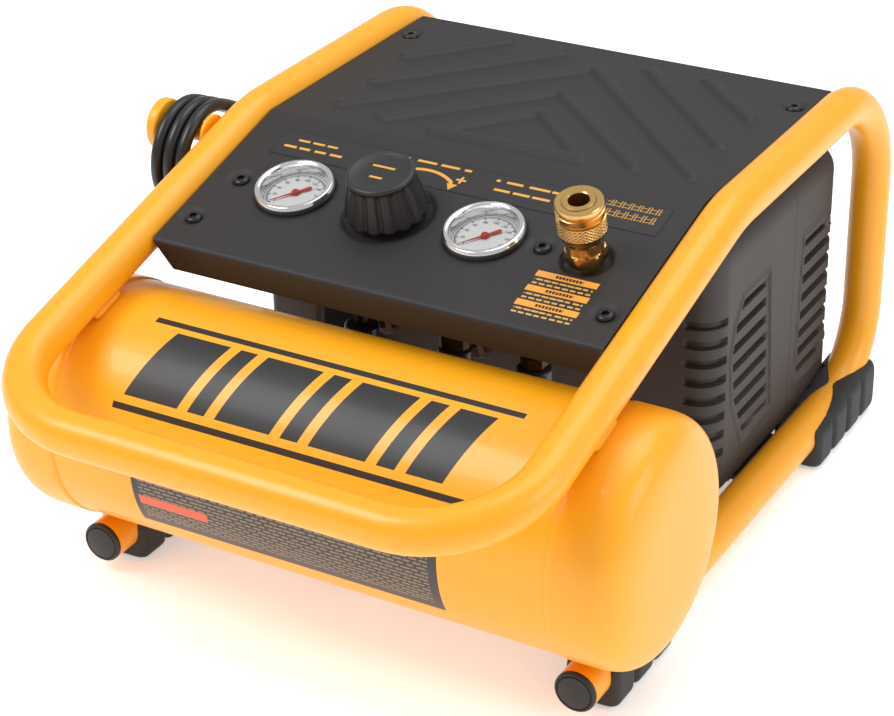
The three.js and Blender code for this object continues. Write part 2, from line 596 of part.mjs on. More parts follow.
place('pump_frame', combine(block(4, 16, 205, 275, 39.6, 122), {
  add: [block(-46, 16, 208, 272, 116, 122)],
  cut: [rodX(SHAFT.r + 0.18, -5, 30, SHAFT.y, SHAFT.z, 20), at(rod(23, 100, 130, 20), PUMP_X, SHAFT.y, 0)],
}), LOOK.alloy);
place('cylinder', at(ring(22, 27, 122.3, 146, 24), PUMP_X, SHAFT.y, 0), LOOK.alloy);
{
  const cut = [at(rod(2.4, 0, 12, 8).rotateX(-Math.PI / 2), -38, 209, 157)];
  for (let i = 0; i < 5; i += 1) cut.push(block(-35 + i * 9, -31 + i * 9, 215, 280, 157, 170));
  place('cylinder_head', combine(block(-46, 14, 210, 270, 146.3, 166.5), { cut }), LOOK.alloy);
}

// ---- Pressure switch ------------------------------------------------------------------------------
place('pressure_switch', combine(roundedBlock(-127, -93, 118, 168, 19.8, 118, 4, 2), {
  cut: [block(-118, -102, 137, 149, 110, 130), rodX(4.3, -140, -120, 158, 104, 12)],
}), LOOK.plastic);
// The lever rests tilted to one side, switched off.
const lever = combine(rodX(4.5, -115, -105, 0, 0, 12), { add: [block(-114, -106, -1.8, 1.8, 1, 15.5)] });
place('switch_lever', at(lever.rotateX(SWITCH.rest), 0, SWITCH.y, SWITCH.z), LOOK.red);

// ---- Cord wrap and power cord ---------------------------------------------------------------------
{
  const post = turned([
    [0, RAIL_X + TUBE.r + GAP], [POST.collar, RAIL_X + TUBE.r + GAP], [POST.collar, 154.4], [POST.r, 155.9],
    [POST.r, 181], [POST.flange - 1.5, 181], [POST.flange, 182.5], [POST.flange, 186.5], [POST.flange - 2, 188.5],
    [0, 188.5],
  ], 16).rotateY(-Math.PI / 2);
  place('cord_post', at(post, 0, POST.y, POST.z), LOOK.yellow);
}

{
  // Three turns hang over the post as one flat hank: two half circles joined by straight runs.
  const [fy, fz] = CORD.front;
  const [ry, rz] = CORD.rear;
  const lean = Math.atan2(rz - fz, ry - fy);
  const outline = (r, n) => {
    const points = [];
    for (const [cy, cz, start] of [[fy, fz, Math.PI / 2], [ry, rz, -Math.PI / 2]]) {
      for (let i = 0; i <= n; i += 1) {
        const a = lean + start + (Math.PI * i) / n;
        points.push(new THREE.Vector2(cy + r * Math.cos(a), cz + r * Math.sin(a)));
      }
    }
    return points;
  };
  const shape = new THREE.Shape(outline(CORD.bend + CORD.d / 2, 12));
  shape.holes.push(new THREE.Path(outline(CORD.bend - CORD.d / 2, 10).reverse()));
  const hank = new THREE.ExtrudeGeometry(shape, { depth: CORD.width, bevelEnabled: false, curveSegments: 1 });
  // The outline's (y, z) plane is turned upright, and its depth runs along +X.
  hank.applyMatrix4(new THREE.Matrix4().makeBasis(v3(0, 1, 0), v3(0, 0, 1), v3(1, 0, 0)));
  place('power_cord_coil', at(hank, CORD.x - CORD.width / 2, 0, 0), LOOK.rubber);
}
place('strain_relief', at(turned([
  [0, 0.3], [7, 0.3], [7, 3], [5.4, 4], [4.3, 20.1], [0, 20.1],
], 14).rotateY(-Math.PI / 2), -127, 158, 104), LOOK.rubber);

const cordSweep = (points, radii) => sweep(stations(points, radii, 0.45, 18), CORD.d / 2, { sides: 8 });
// The lead joins the hank from below, and the tail drops from its rear end to the plug.
place('power_cord_lead', cordSweep([
  v3(-147.3, 158, 104),
  v3(-176.3, 158, 104),
  v3(-176.3, 134.5, 129.2),
  v3(-176.3, 124, 134.5),
], [28.9, 29]), LOOK.rubber);
const TAIL_Y = CORD.rear[0] + CORD.bend + CORD.d + 0.4;
place('power_cord_tail', cordSweep([
  v3(-163, TAIL_Y, CORD.rear[1] + 5),
  v3(-163, TAIL_Y, 80),
  v3(-176, TAIL_Y, 50),
  v3(-176, TAIL_Y, 12.6),
  v3(-176, 238, 12.6),
], [30, 30, 30]), LOOK.rubber);
{
  const body = turned([[0, 0.3], [5, 0.3], [6.5, 14], [12, 20], [12, 40], [0, 40]], 16);
  const plug = combine(body, {
    add: [
      block(-7.1, -5.6, -3.2, 3.2, 38, 56),
      block(5.6, 7.1, -3.2, 3.2, 38, 56),
      at(rod(2.4, 38, 58, 8), 0, -8, 0),
    ],
  });
  place('power_plug', at(plug.rotateX(Math.PI / 2), -176, 238, 12.6), LOOK.plastic);
}

export default object;
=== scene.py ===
"""Visual model of a hand-carry air compressor: one small horizontal tank in a bent-tube roll frame.

Lengths inside the classes are millimetres in the modelling axes: x to the right from the middle plane, y to the
rear from the tank's axis and z up from the floor. `to_world` turns them into the shared frame in metres.
"""

import json
import logging
import math
from dataclasses import dataclass, field
from enum import Enum
from typing import Optional, Sequence, Union

import bpy
import numpy as np
from mathutils import Matrix, Vector

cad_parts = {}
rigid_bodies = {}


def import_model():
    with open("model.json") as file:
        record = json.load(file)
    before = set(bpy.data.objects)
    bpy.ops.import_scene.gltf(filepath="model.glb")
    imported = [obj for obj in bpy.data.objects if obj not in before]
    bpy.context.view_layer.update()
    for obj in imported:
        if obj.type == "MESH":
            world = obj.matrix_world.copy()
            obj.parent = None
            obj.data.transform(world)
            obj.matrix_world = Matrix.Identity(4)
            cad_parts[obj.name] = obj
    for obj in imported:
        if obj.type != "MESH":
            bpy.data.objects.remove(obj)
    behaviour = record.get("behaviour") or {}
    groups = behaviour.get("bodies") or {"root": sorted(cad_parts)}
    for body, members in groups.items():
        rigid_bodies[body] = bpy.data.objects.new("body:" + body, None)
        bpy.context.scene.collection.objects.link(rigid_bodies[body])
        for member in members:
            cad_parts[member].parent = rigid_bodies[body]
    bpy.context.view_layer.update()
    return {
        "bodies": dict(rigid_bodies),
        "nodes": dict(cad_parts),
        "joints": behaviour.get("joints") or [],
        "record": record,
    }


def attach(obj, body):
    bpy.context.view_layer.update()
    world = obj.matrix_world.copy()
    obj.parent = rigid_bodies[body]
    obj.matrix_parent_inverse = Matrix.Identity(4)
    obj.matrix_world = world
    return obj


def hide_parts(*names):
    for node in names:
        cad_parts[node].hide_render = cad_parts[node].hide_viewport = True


LOG = logging.getLogger("compressor")
ORIGIN = np.array([4.0, -113.2, 0.0])
KNEE = np.array([0.0, 132.2, 207.9])
SLOPE = math.atan2(63.6, 244.0)
COS, SIN = math.cos(SLOPE), math.sin(SLOPE)
TUBE_R, RAIL_X, LOW_Z, TOP_Z = 11.1, 140.7, 17.9, 204.0
TANK_Z = 92.4
PLATE_THICK = 2.0
ROW = 59.0


class Body(str, Enum):
    """Moving bodies of the frame."""

    MAIN = "compressor"
    ROTOR = "rotor"
    KNOB = "regulator_knob"
    SLEEVE = "coupler_sleeve"
    TANK_NEEDLE = "tank_needle"
    OUTLET_NEEDLE = "outlet_needle"
    DRAIN = "drain_knob"
    RING = "relief_ring"
    LEVER = "switch_lever"


class Slot(str, Enum):
    """Material slots of the record."""

    YELLOW = "yellow_paint"
    POWDER = "black_powder_coat"
    COWL = "cowl_plastic"
    RUBBER = "black_rubber"
    CORD = "cord_jacket"
    PLASTIC = "black_plastic"
    BRIGHT = "bright_steel"
    GLASS = "gauge_glass"
    DIAL = "dial_white"
    NEEDLE = "needle_red"
    LEVER = "lever_red"
    BRASS = "brass"
    COPPER = "copper_tube"
    ALLOY = "cast_alloy"
    STEEL = "machined_steel"


# ---- Geometry ------------------------------------------------------------------------------------
def to_world(points: np.ndarray) -> np.ndarray:
    """Modelling millimetres to the shared frame in metres."""
    return (np.asarray(points, float) + ORIGIN) * 0.001


def on_slope(x: np.ndarray, s: np.ndarray, h: np.ndarray) -> np.ndarray:
    """Points of the slope plane: x across, s down the slope from the knee, h above the plate.

    Args:
        x: Distance to the right.
        s: Distance down the slope.
        h: Height above the plate's top.

    Returns:
        Points in modelling millimetres, in the last axis.
    """
    x, s, h = np.broadcast_arrays(np.asarray(x, float), s, h)
    return np.stack([x, KNEE[1] - COS * s - SIN * h, KNEE[2] - SIN * s + COS * h], -1)


def arc(center: Sequence[float], radius: float, start: float, end: float, steps: int) -> np.ndarray:
    """Points of a plane arc, angles in degrees: centre plus radius times (cos, sin)."""
    angle = np.radians(np.linspace(start, end, steps))
    return np.stack([center[0] + radius * np.cos(angle), center[1] + radius * np.sin(angle)], -1)


def smooth(edge0: float, edge1: float, value: np.ndarray) -> np.ndarray:
    """Smooth step from 0 at edge0 to 1 at edge1: 3t² − 2t³ of the clipped share t."""
    t = np.clip((value - edge0) / (edge1 - edge0), 0.0, 1.0)
    return t * t * (3.0 - 2.0 * t)


def rounded_path(points: Sequence[Sequence[float]], radii: Sequence[float], steps: int = 14) -> np.ndarray:
    """A polyline whose inner corners are rounded.

    Each corner becomes an arc with the given radius: the arc's ends lie radius·tan(half the turn) from the corner,
    and its points turn about a centre on the corner's bisector.

    Args:
        points: Corners of the line, three numbers each.
        radii: Radius at each inner corner.
        steps: Points on each arc.

    Returns:
        The stations of the path.
    """
    corners = np.asarray(points, float)
    parts = [corners[:1]]
    for corner, before, after, radius in zip(corners[1:-1], corners[:-2], corners[2:], radii):
        a = (before - corner) / np.linalg.norm(before - corner)
        b = (after - corner) / np.linalg.norm(after - corner)
        half = math.acos(float(np.clip(a @ b, -1, 1))) / 2.0
        reach = radius / math.tan(half)
        bisector = (a + b) / np.linalg.norm(a + b)
        center = corner + bisector * radius / math.sin(half)
        start = corner + a * reach - center
        across = corner + b * reach - center
        turn = math.pi - 2.0 * half
        angle = np.linspace(0.0, turn, steps)[:, None]
        parts.append(center + (start * np.sin(turn - angle) + across * np.sin(angle)) / math.sin(turn))
    parts.append(corners[-1:])
    return np.concatenate(parts)


def tangents(path: np.ndarray) -> np.ndarray:
    """Unit tangents of a line of stations, from the points before and after each."""
    t = np.gradient(path, axis=0)
    return t / np.linalg.norm(t, axis=1, keepdims=True)


def tube(path: np.ndarray, side: np.ndarray, radius: Union[float, np.ndarray], count: int = 32) -> np.ndarray:
    """Rings of a round tube: each ring is path + radius·(cos·a + sin·(t × a)).

    Args:
        path: Stations of the centreline.
        side: Direction a for each station, or one for all; it is made square to the tangent.
        radius: Radius, for all or for each station.
        count: Points on a ring.

    Returns:
        An array of rings, stations × count × 3.
    """
    t = tangents(path)
    a = np.broadcast_to(side, path.shape)
    a = a - t * np.sum(a * t, 1, keepdims=True)
    a = a / np.linalg.norm(a, axis=1, keepdims=True)
    b = np.cross(t, a)
    angle = np.linspace(0, 2 * np.pi, count, endpoint=False)
    r = np.broadcast_to(radius, path.shape[:1])[:, None, None]
    wheel = np.cos(angle)[None, :, None] * a[:, None] + np.sin(angle)[None, :, None] * b[:, None]
    return path[:, None] + r * wheel


def turned(profile: Sequence[Sequence[float]], count: int = 48, flutes: int = 0,
           depth: Optional[np.ndarray] = None
           ) -> np.ndarray:
    """Rings of a turned shape about the third axis: each profile point (radius, height) becomes a ring.

    Args:
        profile: Radius and height of each ring.
        count: Points on a ring.
        flutes: Number of grooves around it.
        depth: Depth of the grooves at each profile point.

    Returns:
        Rings, profile points × count × 3, in the shape's own axes.
    """
    p = np.asarray(profile, float)
    angle = np.linspace(0, 2 * np.pi, count, endpoint=False)
    r = np.repeat(p[:, :1], count, 1)
    if flutes:
        wave = np.clip(1.15 * np.cos(angle * flutes) - 0.15, 0.0, 1.0)
        r = r - np.asarray(depth, float)[:, None] * wave[None]
    return np.stack([r * np.cos(angle), r * np.sin(angle), np.repeat(p[:, 1:2], count, 1)], -1)


def fillet(profile: Sequence[Sequence[float]], radius: Union[float, Sequence[float]],
           steps: int = 4) -> np.ndarray:
    """A profile of (radius, height) corners with its inner corners rounded."""
    p = np.asarray(profile, float)
    sizes = np.broadcast_to(radius, (len(p) - 2,))
    flat = np.concatenate([p, np.zeros((len(p), 1))], 1)
    parts = [flat[:1]]
    for i, size in enumerate(sizes):
        corner, before, after = flat[i + 1], flat[i], flat[i + 2]
        a, b = before - corner, after - corner
        la, lb = np.linalg.norm(a), np.linalg.norm(b)
        cosine = float(np.clip((a / la) @ (b / lb), -1, 1))
        if size <= 0 or cosine < -0.999:
            parts.append(corner[None])
            continue
        half = math.acos(cosine) / 2.0
        reach = min(size / math.tan(half), 0.48 * la, 0.48 * lb)
        start, end = corner + a / la * reach, corner + b / lb * reach
        t = np.linspace(0, 1, steps)[:, None]
        parts.append((1 - t) ** 2 * start + 2 * t * (1 - t) * corner + t ** 2 * end)
    parts.append(flat[-1:])
    return np.concatenate(parts)[:, :2]


def placed(points: np.ndarray, origin: Sequence[float], x: Sequence[float], y: Sequence[float],
           z: Sequence[float]
           ) -> np.ndarray:
    """Points of a shape's own axes put at origin with those axes given in modelling axes."""
    return points @ np.array([x, y, z], float) + np.asarray(origin, float)


def on_plate(points: np.ndarray, x: float, s: float, h: float = 0.0) -> np.ndarray:
    """A turned shape stood square on the sloping plate at (x, s)."""
    return placed(points, on_slope(x, s, h), (1, 0, 0), (0, COS, SIN), (0, -SIN, COS))


def along_x(points: np.ndarray, x: float, y: float, z: float, sign: float = 1.0) -> np.ndarray:
    """A turned shape laid along ±x."""
    return placed(points, (x, y, z), (0, 1, 0), (0, 0, sign), (sign, 0, 0))


def upright(points: np.ndarray, x: float, y: float, z: float) -> np.ndarray:
    """A turned shape stood upright."""
    return points + np.array([x, y, z])


@dataclass
class Shell:
    """A mesh under construction, built from rings and grids as whole arrays."""

    points: list = field(default_factory=list)
    faces: list = field(default_factory=list)
    uvs: list = field(default_factory=list)
    size: int = 0

    def rings(self, rings: np.ndarray, caps: bool = True, loop: bool = False, uv: Optional[np.ndarray] = None
              ) -> "Shell":
        """Adds a skin over rings that each close on themselves.

        Face (i, j) joins points j and j+1 of rings i and i+1; a cap is a fan from its ring's middle point. The
        winding is turned round if the skin's signed volume, a sixth of the sum of a·(b × c), is negative.

        Args:
            rings: Stations × around × 3.
            caps: Whether the ends are closed.
            loop: Whether the last ring joins the first.
            uv: A pair for each point of the rings, if the piece has them.

        Returns:
            This shell.
        """
        m, n = rings.shape[:2]
        i = np.arange(m if loop else m - 1)
        gi, gj = np.meshgrid(i, np.arange(n), indexing="ij")
        ni, nj = (gi + 1) % m, (gj + 1) % n
        quads = np.stack([gi * n + gj, ni * n + gj, ni * n + nj, gi * n + nj], -1).reshape(-1, 4)
        points = rings.reshape(-1, 3)
        tris = np.zeros((0, 3), int)
        if caps and not loop:
            j = np.arange(n)
            k = (j + 1) % n
            last = (m - 1) * n
            tris = np.concatenate([np.stack([np.full(n, m * n), j, k], -1),
                                   np.stack([np.full(n, m * n + 1), last + k, last + j], -1)])
            points = np.concatenate([points, rings[0].mean(0)[None], rings[-1].mean(0)[None]])
        a, b, c, d = (points[quads[:, q]] - points.mean(0) for q in range(4))
        volume = np.sum(a * np.cross(b, c)) + np.sum(a * np.cross(c, d))
        if len(tris):
            a, b, c = (points[tris[:, q]] - points.mean(0) for q in range(3))
            volume += np.sum(a * np.cross(b, c))
        if volume < 0:
            quads, tris = quads[:, ::-1], tris[:, ::-1]
        pairs = np.zeros((len(points), 2)) if uv is None else uv.reshape(-1, 2)
        if len(pairs) < len(points):
            pairs = np.concatenate([pairs, pairs[:1], pairs[-1:]])
        self.uvs.append(pairs)
        self.points.append(points)
        self.faces += (quads + self.size).tolist() + (tris + self.size).tolist()
        self.size += len(points)
        return self

    def slab(self, top: np.ndarray, bottom: np.ndarray, uv: Optional[np.ndarray] = None) -> "Shell":
        """Adds a closed sheet between two grids of the same size: each row becomes one ring round the sheet.

        Args:
            top: Grid of the outer face, rows × columns × 3.
            bottom: Grid of the inner face.
            uv: A pair for each point of the outer grid, used for both faces.

        Returns:
            This shell.
        """
        m, n = top.shape[:2]
        index = np.arange(m * n).reshape(m, n)
        corner = np.stack([index[:-1, :-1], index[1:, :-1], index[1:, 1:], index[:-1, 1:]], -1).reshape(-1, 4)
        rim = np.concatenate([index[0, :-1], index[:-1, -1], index[-1, :0:-1], index[:0:-1, 0]])
        nxt = np.roll(rim, -1)
        wall = np.stack([rim, nxt, nxt + m * n, rim + m * n], -1)
        quads = np.concatenate([corner, corner[:, ::-1] + m * n, wall])
        points = np.concatenate([top.reshape(-1, 3), bottom.reshape(-1, 3)])
        a, b, c, d = (points[quads[:, q]] - points.mean(0) for q in range(4))
        if np.sum(a * np.cross(b, c)) + np.sum(a * np.cross(c, d)) < 0:
            quads = quads[:, ::-1]
        pair = np.zeros((m * n, 2)) if uv is None else uv.reshape(-1, 2)
        self.uvs.append(np.concatenate([pair, pair]))
        self.points.append(points)
        self.faces += (quads + self.size).tolist()
        self.size += len(points)
        return self

    def build(self, name: str, material: bpy.types.Material, slot: Slot, body: Body = Body.MAIN,
              stands_for: Sequence[str] = (), sharp: float = 35.0, bevel: float = 0.0, parts: int = 2,
              origin: bool = True) -> bpy.types.Object:
        """Makes the object.

        Args:
            name: Name of the piece.
            material: Its finish.
            slot: Record slot that the finish belongs to; not used.
            body: Body that it moves with.
            stands_for: CAD nodes that it replaces.
            sharp: Angle in degrees above which an edge stays sharp.
            bevel: Width in millimetres of a bevel on sharp edges.
            parts: Segments of the bevel.
            origin: Whether the points are modelling millimetres.

        Returns:
            The object.
        """
        mesh = bpy.data.meshes.new(name)
        points = np.concatenate(self.points)
        mesh.from_pydata((to_world(points) if origin else points).tolist(), [], self.faces)
        layer = mesh.uv_layers.new(name="sheet")
        loops = np.zeros(len(mesh.loops), int)
        mesh.loops.foreach_get("vertex_index", loops)
        layer.data.foreach_set("uv", np.concatenate(self.uvs)[loops].astype(np.float32).ravel())
        mesh.shade_smooth()
        mesh.set_sharp_from_angle(angle=math.radians(sharp))
        mesh.materials.append(material)
        obj = bpy.data.objects.new(name, mesh)
        bpy.context.scene.collection.objects.link(obj)
        if bevel:
            modifier = obj.modifiers.new("bevel", "BEVEL")
            modifier.width = bevel * 0.001
            modifier.segments = parts
            modifier.limit_method = "ANGLE"
            modifier.angle_limit = math.radians(sharp)
            modifier.harden_normals = True
        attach(obj, body.value)
        if stands_for:
            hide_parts(*stands_for)
        LOG.info("%s: %d faces, rides on %s", name, len(self.faces), body.value)
        return obj


# ---- Finishes ------------------------------------------------------------------------------------
Value = Union["Wire", float]


class Wire:
    """A shader socket that takes part in arithmetic."""

    def __init__(self, graph: "Graph", socket: bpy.types.NodeSocket) -> None:
        """Keeps the graph and the socket."""
        self.graph, self.socket = graph, socket

    def __add__(self, other: Value) -> "Wire":
        """Sum."""
        return self.graph.math("ADD", self, other)

    __radd__ = __add__

    def __sub__(self, other: Value) -> "Wire":
        """Difference."""
        return self.graph.math("SUBTRACT", self, other)

    def __rsub__(self, other: Value) -> "Wire":
        """Difference from a number."""
        return self.graph.math("SUBTRACT", other, self)

    def __mul__(self, other: Value) -> "Wire":
        """Product."""
        return self.graph.math("MULTIPLY", self, other)

    __rmul__ = __mul__

    def __truediv__(self, other: Value) -> "Wire":
        """Quotient."""
        return self.graph.math("DIVIDE", self, other)

    def __rtruediv__(self, other: Value) -> "Wire":
        """Quotient of a number."""
        return self.graph.math("DIVIDE", other, self)

    def __abs__(self) -> "Wire":
        """Size without its sign."""
        return self.graph.math("ABSOLUTE", self)

    def floor(self) -> "Wire":
        """Whole part."""
        return self.graph.math("FLOOR", self)

    def fract(self) -> "Wire":
        """Part after the point."""
        return self.graph.math("FRACT", self)

    def root(self) -> "Wire":
        """Square root."""
        return self.graph.math("SQRT", self)

    def below(self, limit: Value) -> "Wire":
        """1 where it is less than the limit, else 0."""
        return self.graph.math("LESS_THAN", self, limit)

    def above(self, limit: Value) -> "Wire":
        """1 where it is more than the limit, else 0."""
        return self.graph.math("GREATER_THAN", self, limit)

    def least(self, other: Value) -> "Wire":
        """The smaller of two."""
        return self.graph.math("MINIMUM", self, other)


class Graph:
    """A material's node tree."""

    def __init__(self, name: str) -> None:
        """Makes the material and finds its shader."""
        self.material = bpy.data.materials.new(name)
        self.material.use_nodes = True
        self.tree = self.material.node_tree
        self.shader = self.tree.nodes["Principled BSDF"]

    def node(self, kind: str, settings: Optional[dict] = None, inputs: Optional[dict] = None,
             output: Union[int, str] = 0) -> Wire:
        """Adds a node: its settings first, then its socket values and links.

        Args:
            kind: Node type without the ShaderNode prefix.
            settings: Properties to set.
            inputs: Socket name or number to value or wire.
            output: Socket to return.

        Returns:
            The chosen output.
        """
        made = self.tree.nodes.new("ShaderNode" + kind)
        for key, value in (settings or {}).items():
            setattr(made, key, value)
        for key, value in (inputs or {}).items():
            self.put(made.inputs[key], value)
        return Wire(self, made.outputs[output])

    def put(self, socket: bpy.types.NodeSocket, value: Union[Wire, float, Sequence[float]]) -> None:
        """Links a wire to a socket, or sets its value."""
        if isinstance(value, Wire):
            self.tree.links.new(value.socket, socket)
        else:
            socket.default_value = value

    def math(self, operation: str, a: Value, b: Value = 0.0) -> Wire:
        """One arithmetic node."""
        return self.node("Math", {"operation": operation}, {0: a, 1: b})

    def mix(self, share: Value, a: Union[Wire, Sequence[float]], b: Union[Wire, Sequence[float]]) -> Wire:
        """Colour a where share is 0 and b where it is 1."""
        return self.node("Mix", {"data_type": "RGBA"}, {0: share, 6: a, 7: b}, 2)

    def object_point(self) -> Wire:
        """The piece's own coordinates."""
        return self.node("TexCoord", output="Object")

    def split(self, vector: Wire) -> tuple[Wire, Wire, Wire]:
        """The three parts of a vector."""
        made = self.tree.nodes.new("ShaderNodeSeparateXYZ")
        self.put(made.inputs[0], vector)
        return tuple(Wire(self, made.outputs[i]) for i in range(3))

    def sheet(self) -> tuple[Wire, Wire]:
        """The piece's own flat coordinates in millimetres."""
        u, v, _ = self.split(self.node("UVMap", {"uv_map": "sheet"}))
        return u, v

    def noise(self, scale: float, detail: float = 3.0, vector: Optional[Wire] = None) -> Wire:
        """Noise of the piece's own coordinates, about 0.5."""
        return self.node("TexNoise", None, {"Vector": vector or self.object_point(), "Scale": scale,
                                            "Detail": detail, "Roughness": 0.55})

    def bump(self, height: Wire, distance: float, strength: float = 1.0) -> Wire:
        """Normals of a height."""
        return self.node("Bump", None, {"Height": height, "Distance": distance, "Strength": strength})

    def shade(self, **values: Union[Wire, float, Sequence[float]]) -> bpy.types.Material:
        """Puts values on the shader, with _ for a space in a socket's name."""
        for key, value in values.items():
            self.put(self.shader.inputs[key.replace("_", " ")], value)
        return self.material

    def inside(self, u: Wire, v: Wire, box: Sequence[float]) -> Wire:
        """1 inside the rectangle (u0, u1, v0, v1), else 0."""
        return u.above(box[0]) * u.below(box[1]) * v.above(box[2]) * v.below(box[3])

    def lines(self, u: Wire, v: Wire, box: Sequence[float], rows: int, word: float, seed: float) -> Wire:
        """Stand-in text: rows of short bars with uneven gaps inside a rectangle.

        Args:
            u: Coordinate along the rows.
            v: Coordinate across them.
            box: The rectangle (u0, u1, v0, v1).
            rows: Number of rows.
            word: Mean length of a bar.
            seed: Picks the pattern.

        Returns:
            1 on a bar, else 0.
        """
        row = (v - box[2]) * (rows / (box[3] - box[2]))
        cell = u * (1.0 / word) + row.floor() * 0.37
        pick = self.node("TexWhiteNoise", {"noise_dimensions": "2D"}, {"Vector": self.node(
            "CombineXYZ", None, {0: cell.floor() + seed, 1: row.floor()})}, "Value")
        on = cell.fract().below(0.62 + pick * 0.3) * row.fract().above(0.28) * row.fract().below(0.72)
        return on * self.inside(u, v, box)


@dataclass(frozen=True)
class Finish:
    """An even finish with a fine surface.

    Attributes:
        name: Name of the material.
        color: Base colour.
        rough: Roughness.
        metal: Metallic.
        coat: Coat weight.
        grain: Noise scale of the bump.
        height: Height of the bump in metres.
        wear: How far roughness varies.
        tint: How far the colour varies.
    """

    name: str
    color: tuple[float, float, float]
    rough: float = 0.45
    metal: float = 0.0
    coat: float = 0.0
    grain: float = 300.0
    height: float = 0.0
    wear: float = 0.06
    tint: float = 0.06

    def build(self) -> bpy.types.Material:
        """Makes the material."""
        g = Graph(self.name)
        slow = g.noise(24.0, 4.0)
        shade = [c * (1 - self.tint) for c in self.color] + [1]
        light = [min(1.0, c * (1 + self.tint)) for c in self.color] + [1]
        g.shade(Base_Color=g.mix(slow, shade, light), Metallic=self.metal, Coat_Weight=self.coat,
                Coat_Roughness=0.08, Roughness=self.rough + (slow - 0.5) * (2.0 * self.wear))
        if self.height:
            g.shade(Normal=g.bump(g.noise(self.grain, 2.0), self.height))
        return g.material


YELLOW = Finish("yellow_enamel", (0.93, 0.385, 0.005), 0.38, coat=0.16, grain=260, height=0.00004,
                wear=0.04, tint=0.02)
POWDER = Finish("black_powder_coat", (0.013, 0.0105, 0.011), 0.56, grain=1500, height=0.00018, wear=0.05)
COWL = Finish("cowl_plastic", (0.036, 0.030, 0.029), 0.58, grain=1700, height=0.00010, wear=0.05)
RUBBER = Finish("black_rubber", (0.020, 0.020, 0.021), 0.62, grain=700, height=0.00006)
JACKET = Finish("cord_jacket", (0.012, 0.012, 0.013), 0.32, grain=500, height=0.00002)
PLASTIC = Finish("black_plastic", (0.014, 0.014, 0.015), 0.42, grain=900, height=0.00003)
BRIGHT = Finish("bright_steel", (0.80, 0.80, 0.81), 0.14, 1.0, wear=0.03)
DIAL = Finish("dial_card", (0.80, 0.81, 0.80), 0.55, tint=0.02)
INK = Finish("dial_ink", (0.02, 0.02, 0.02), 0.5)
RED = Finish("needle_red", (0.55, 0.035, 0.025), 0.4)
LEVER = Finish("lever_red", (0.55, 0.03, 0.02), 0.3)
BRASS = Finish("brass", (0.72, 0.46, 0.17), 0.24, 1.0, wear=0.06, tint=0.08)
COPPER = Finish("copper_tube", (0.72, 0.36, 0.22), 0.28, 1.0, tint=0.12)
ALLOY = Finish("cast_alloy", (0.50, 0.50, 0.51), 0.48, 1.0, grain=500, height=0.0001)
STEEL = Finish("machined_steel", (0.40, 0.40, 0.41), 0.34, 1.0)
# Painted shade: near-black copies of brass, copper and cast alloy, for the fittings that sit in the shaded space
# under the console.
SHADE_DARK_BRASS = Finish("shade_dark_brass", (0.085, 0.055, 0.028), 0.5, 1.0)
SHADE_DARK_COPPER = Finish("shade_dark_copper", (0.075, 0.040, 0.028), 0.5, 1.0)
SHADE_DARK_CAST = Finish("shade_dark_casting", (0.030, 0.028, 0.028), 0.6, grain=500, height=0.0001)
SCREW = Finish("screw_black", (0.03, 0.03, 0.032), 0.3, 0.6)


def glass() -> bpy.types.Material:
    """A clear lens: mostly see-through, with a faint gloss."""
    g = Graph("gauge_glass")
    return g.shade(Base_Color=(0.0, 0.0, 0.0, 1), Roughness=0.03, Alpha=0.12)


@dataclass
class Palette:
    """Every finish, made once."""

    made: dict = field(default_factory=dict)

    def get_glass(self) -> bpy.types.Material:
        """The clear lens."""
        if "gauge_glass" not in self.made:
            self.made["gauge_glass"] = glass()
        return self.made["gauge_glass"]

    def get(self, finish: Finish) -> bpy.types.Material:
        """The material of a finish."""
        if finish.name not in self.made:
            self.made[finish.name] = finish.build()
        return self.made[finish.name]


# ---- Sub-assemblies ------------------------------------------------------------------------------
def mirrored(points: np.ndarray, sign: float) -> np.ndarray:
    """Points with x turned over when sign is −1."""
    return points * np.array([sign, 1.0, 1.0])


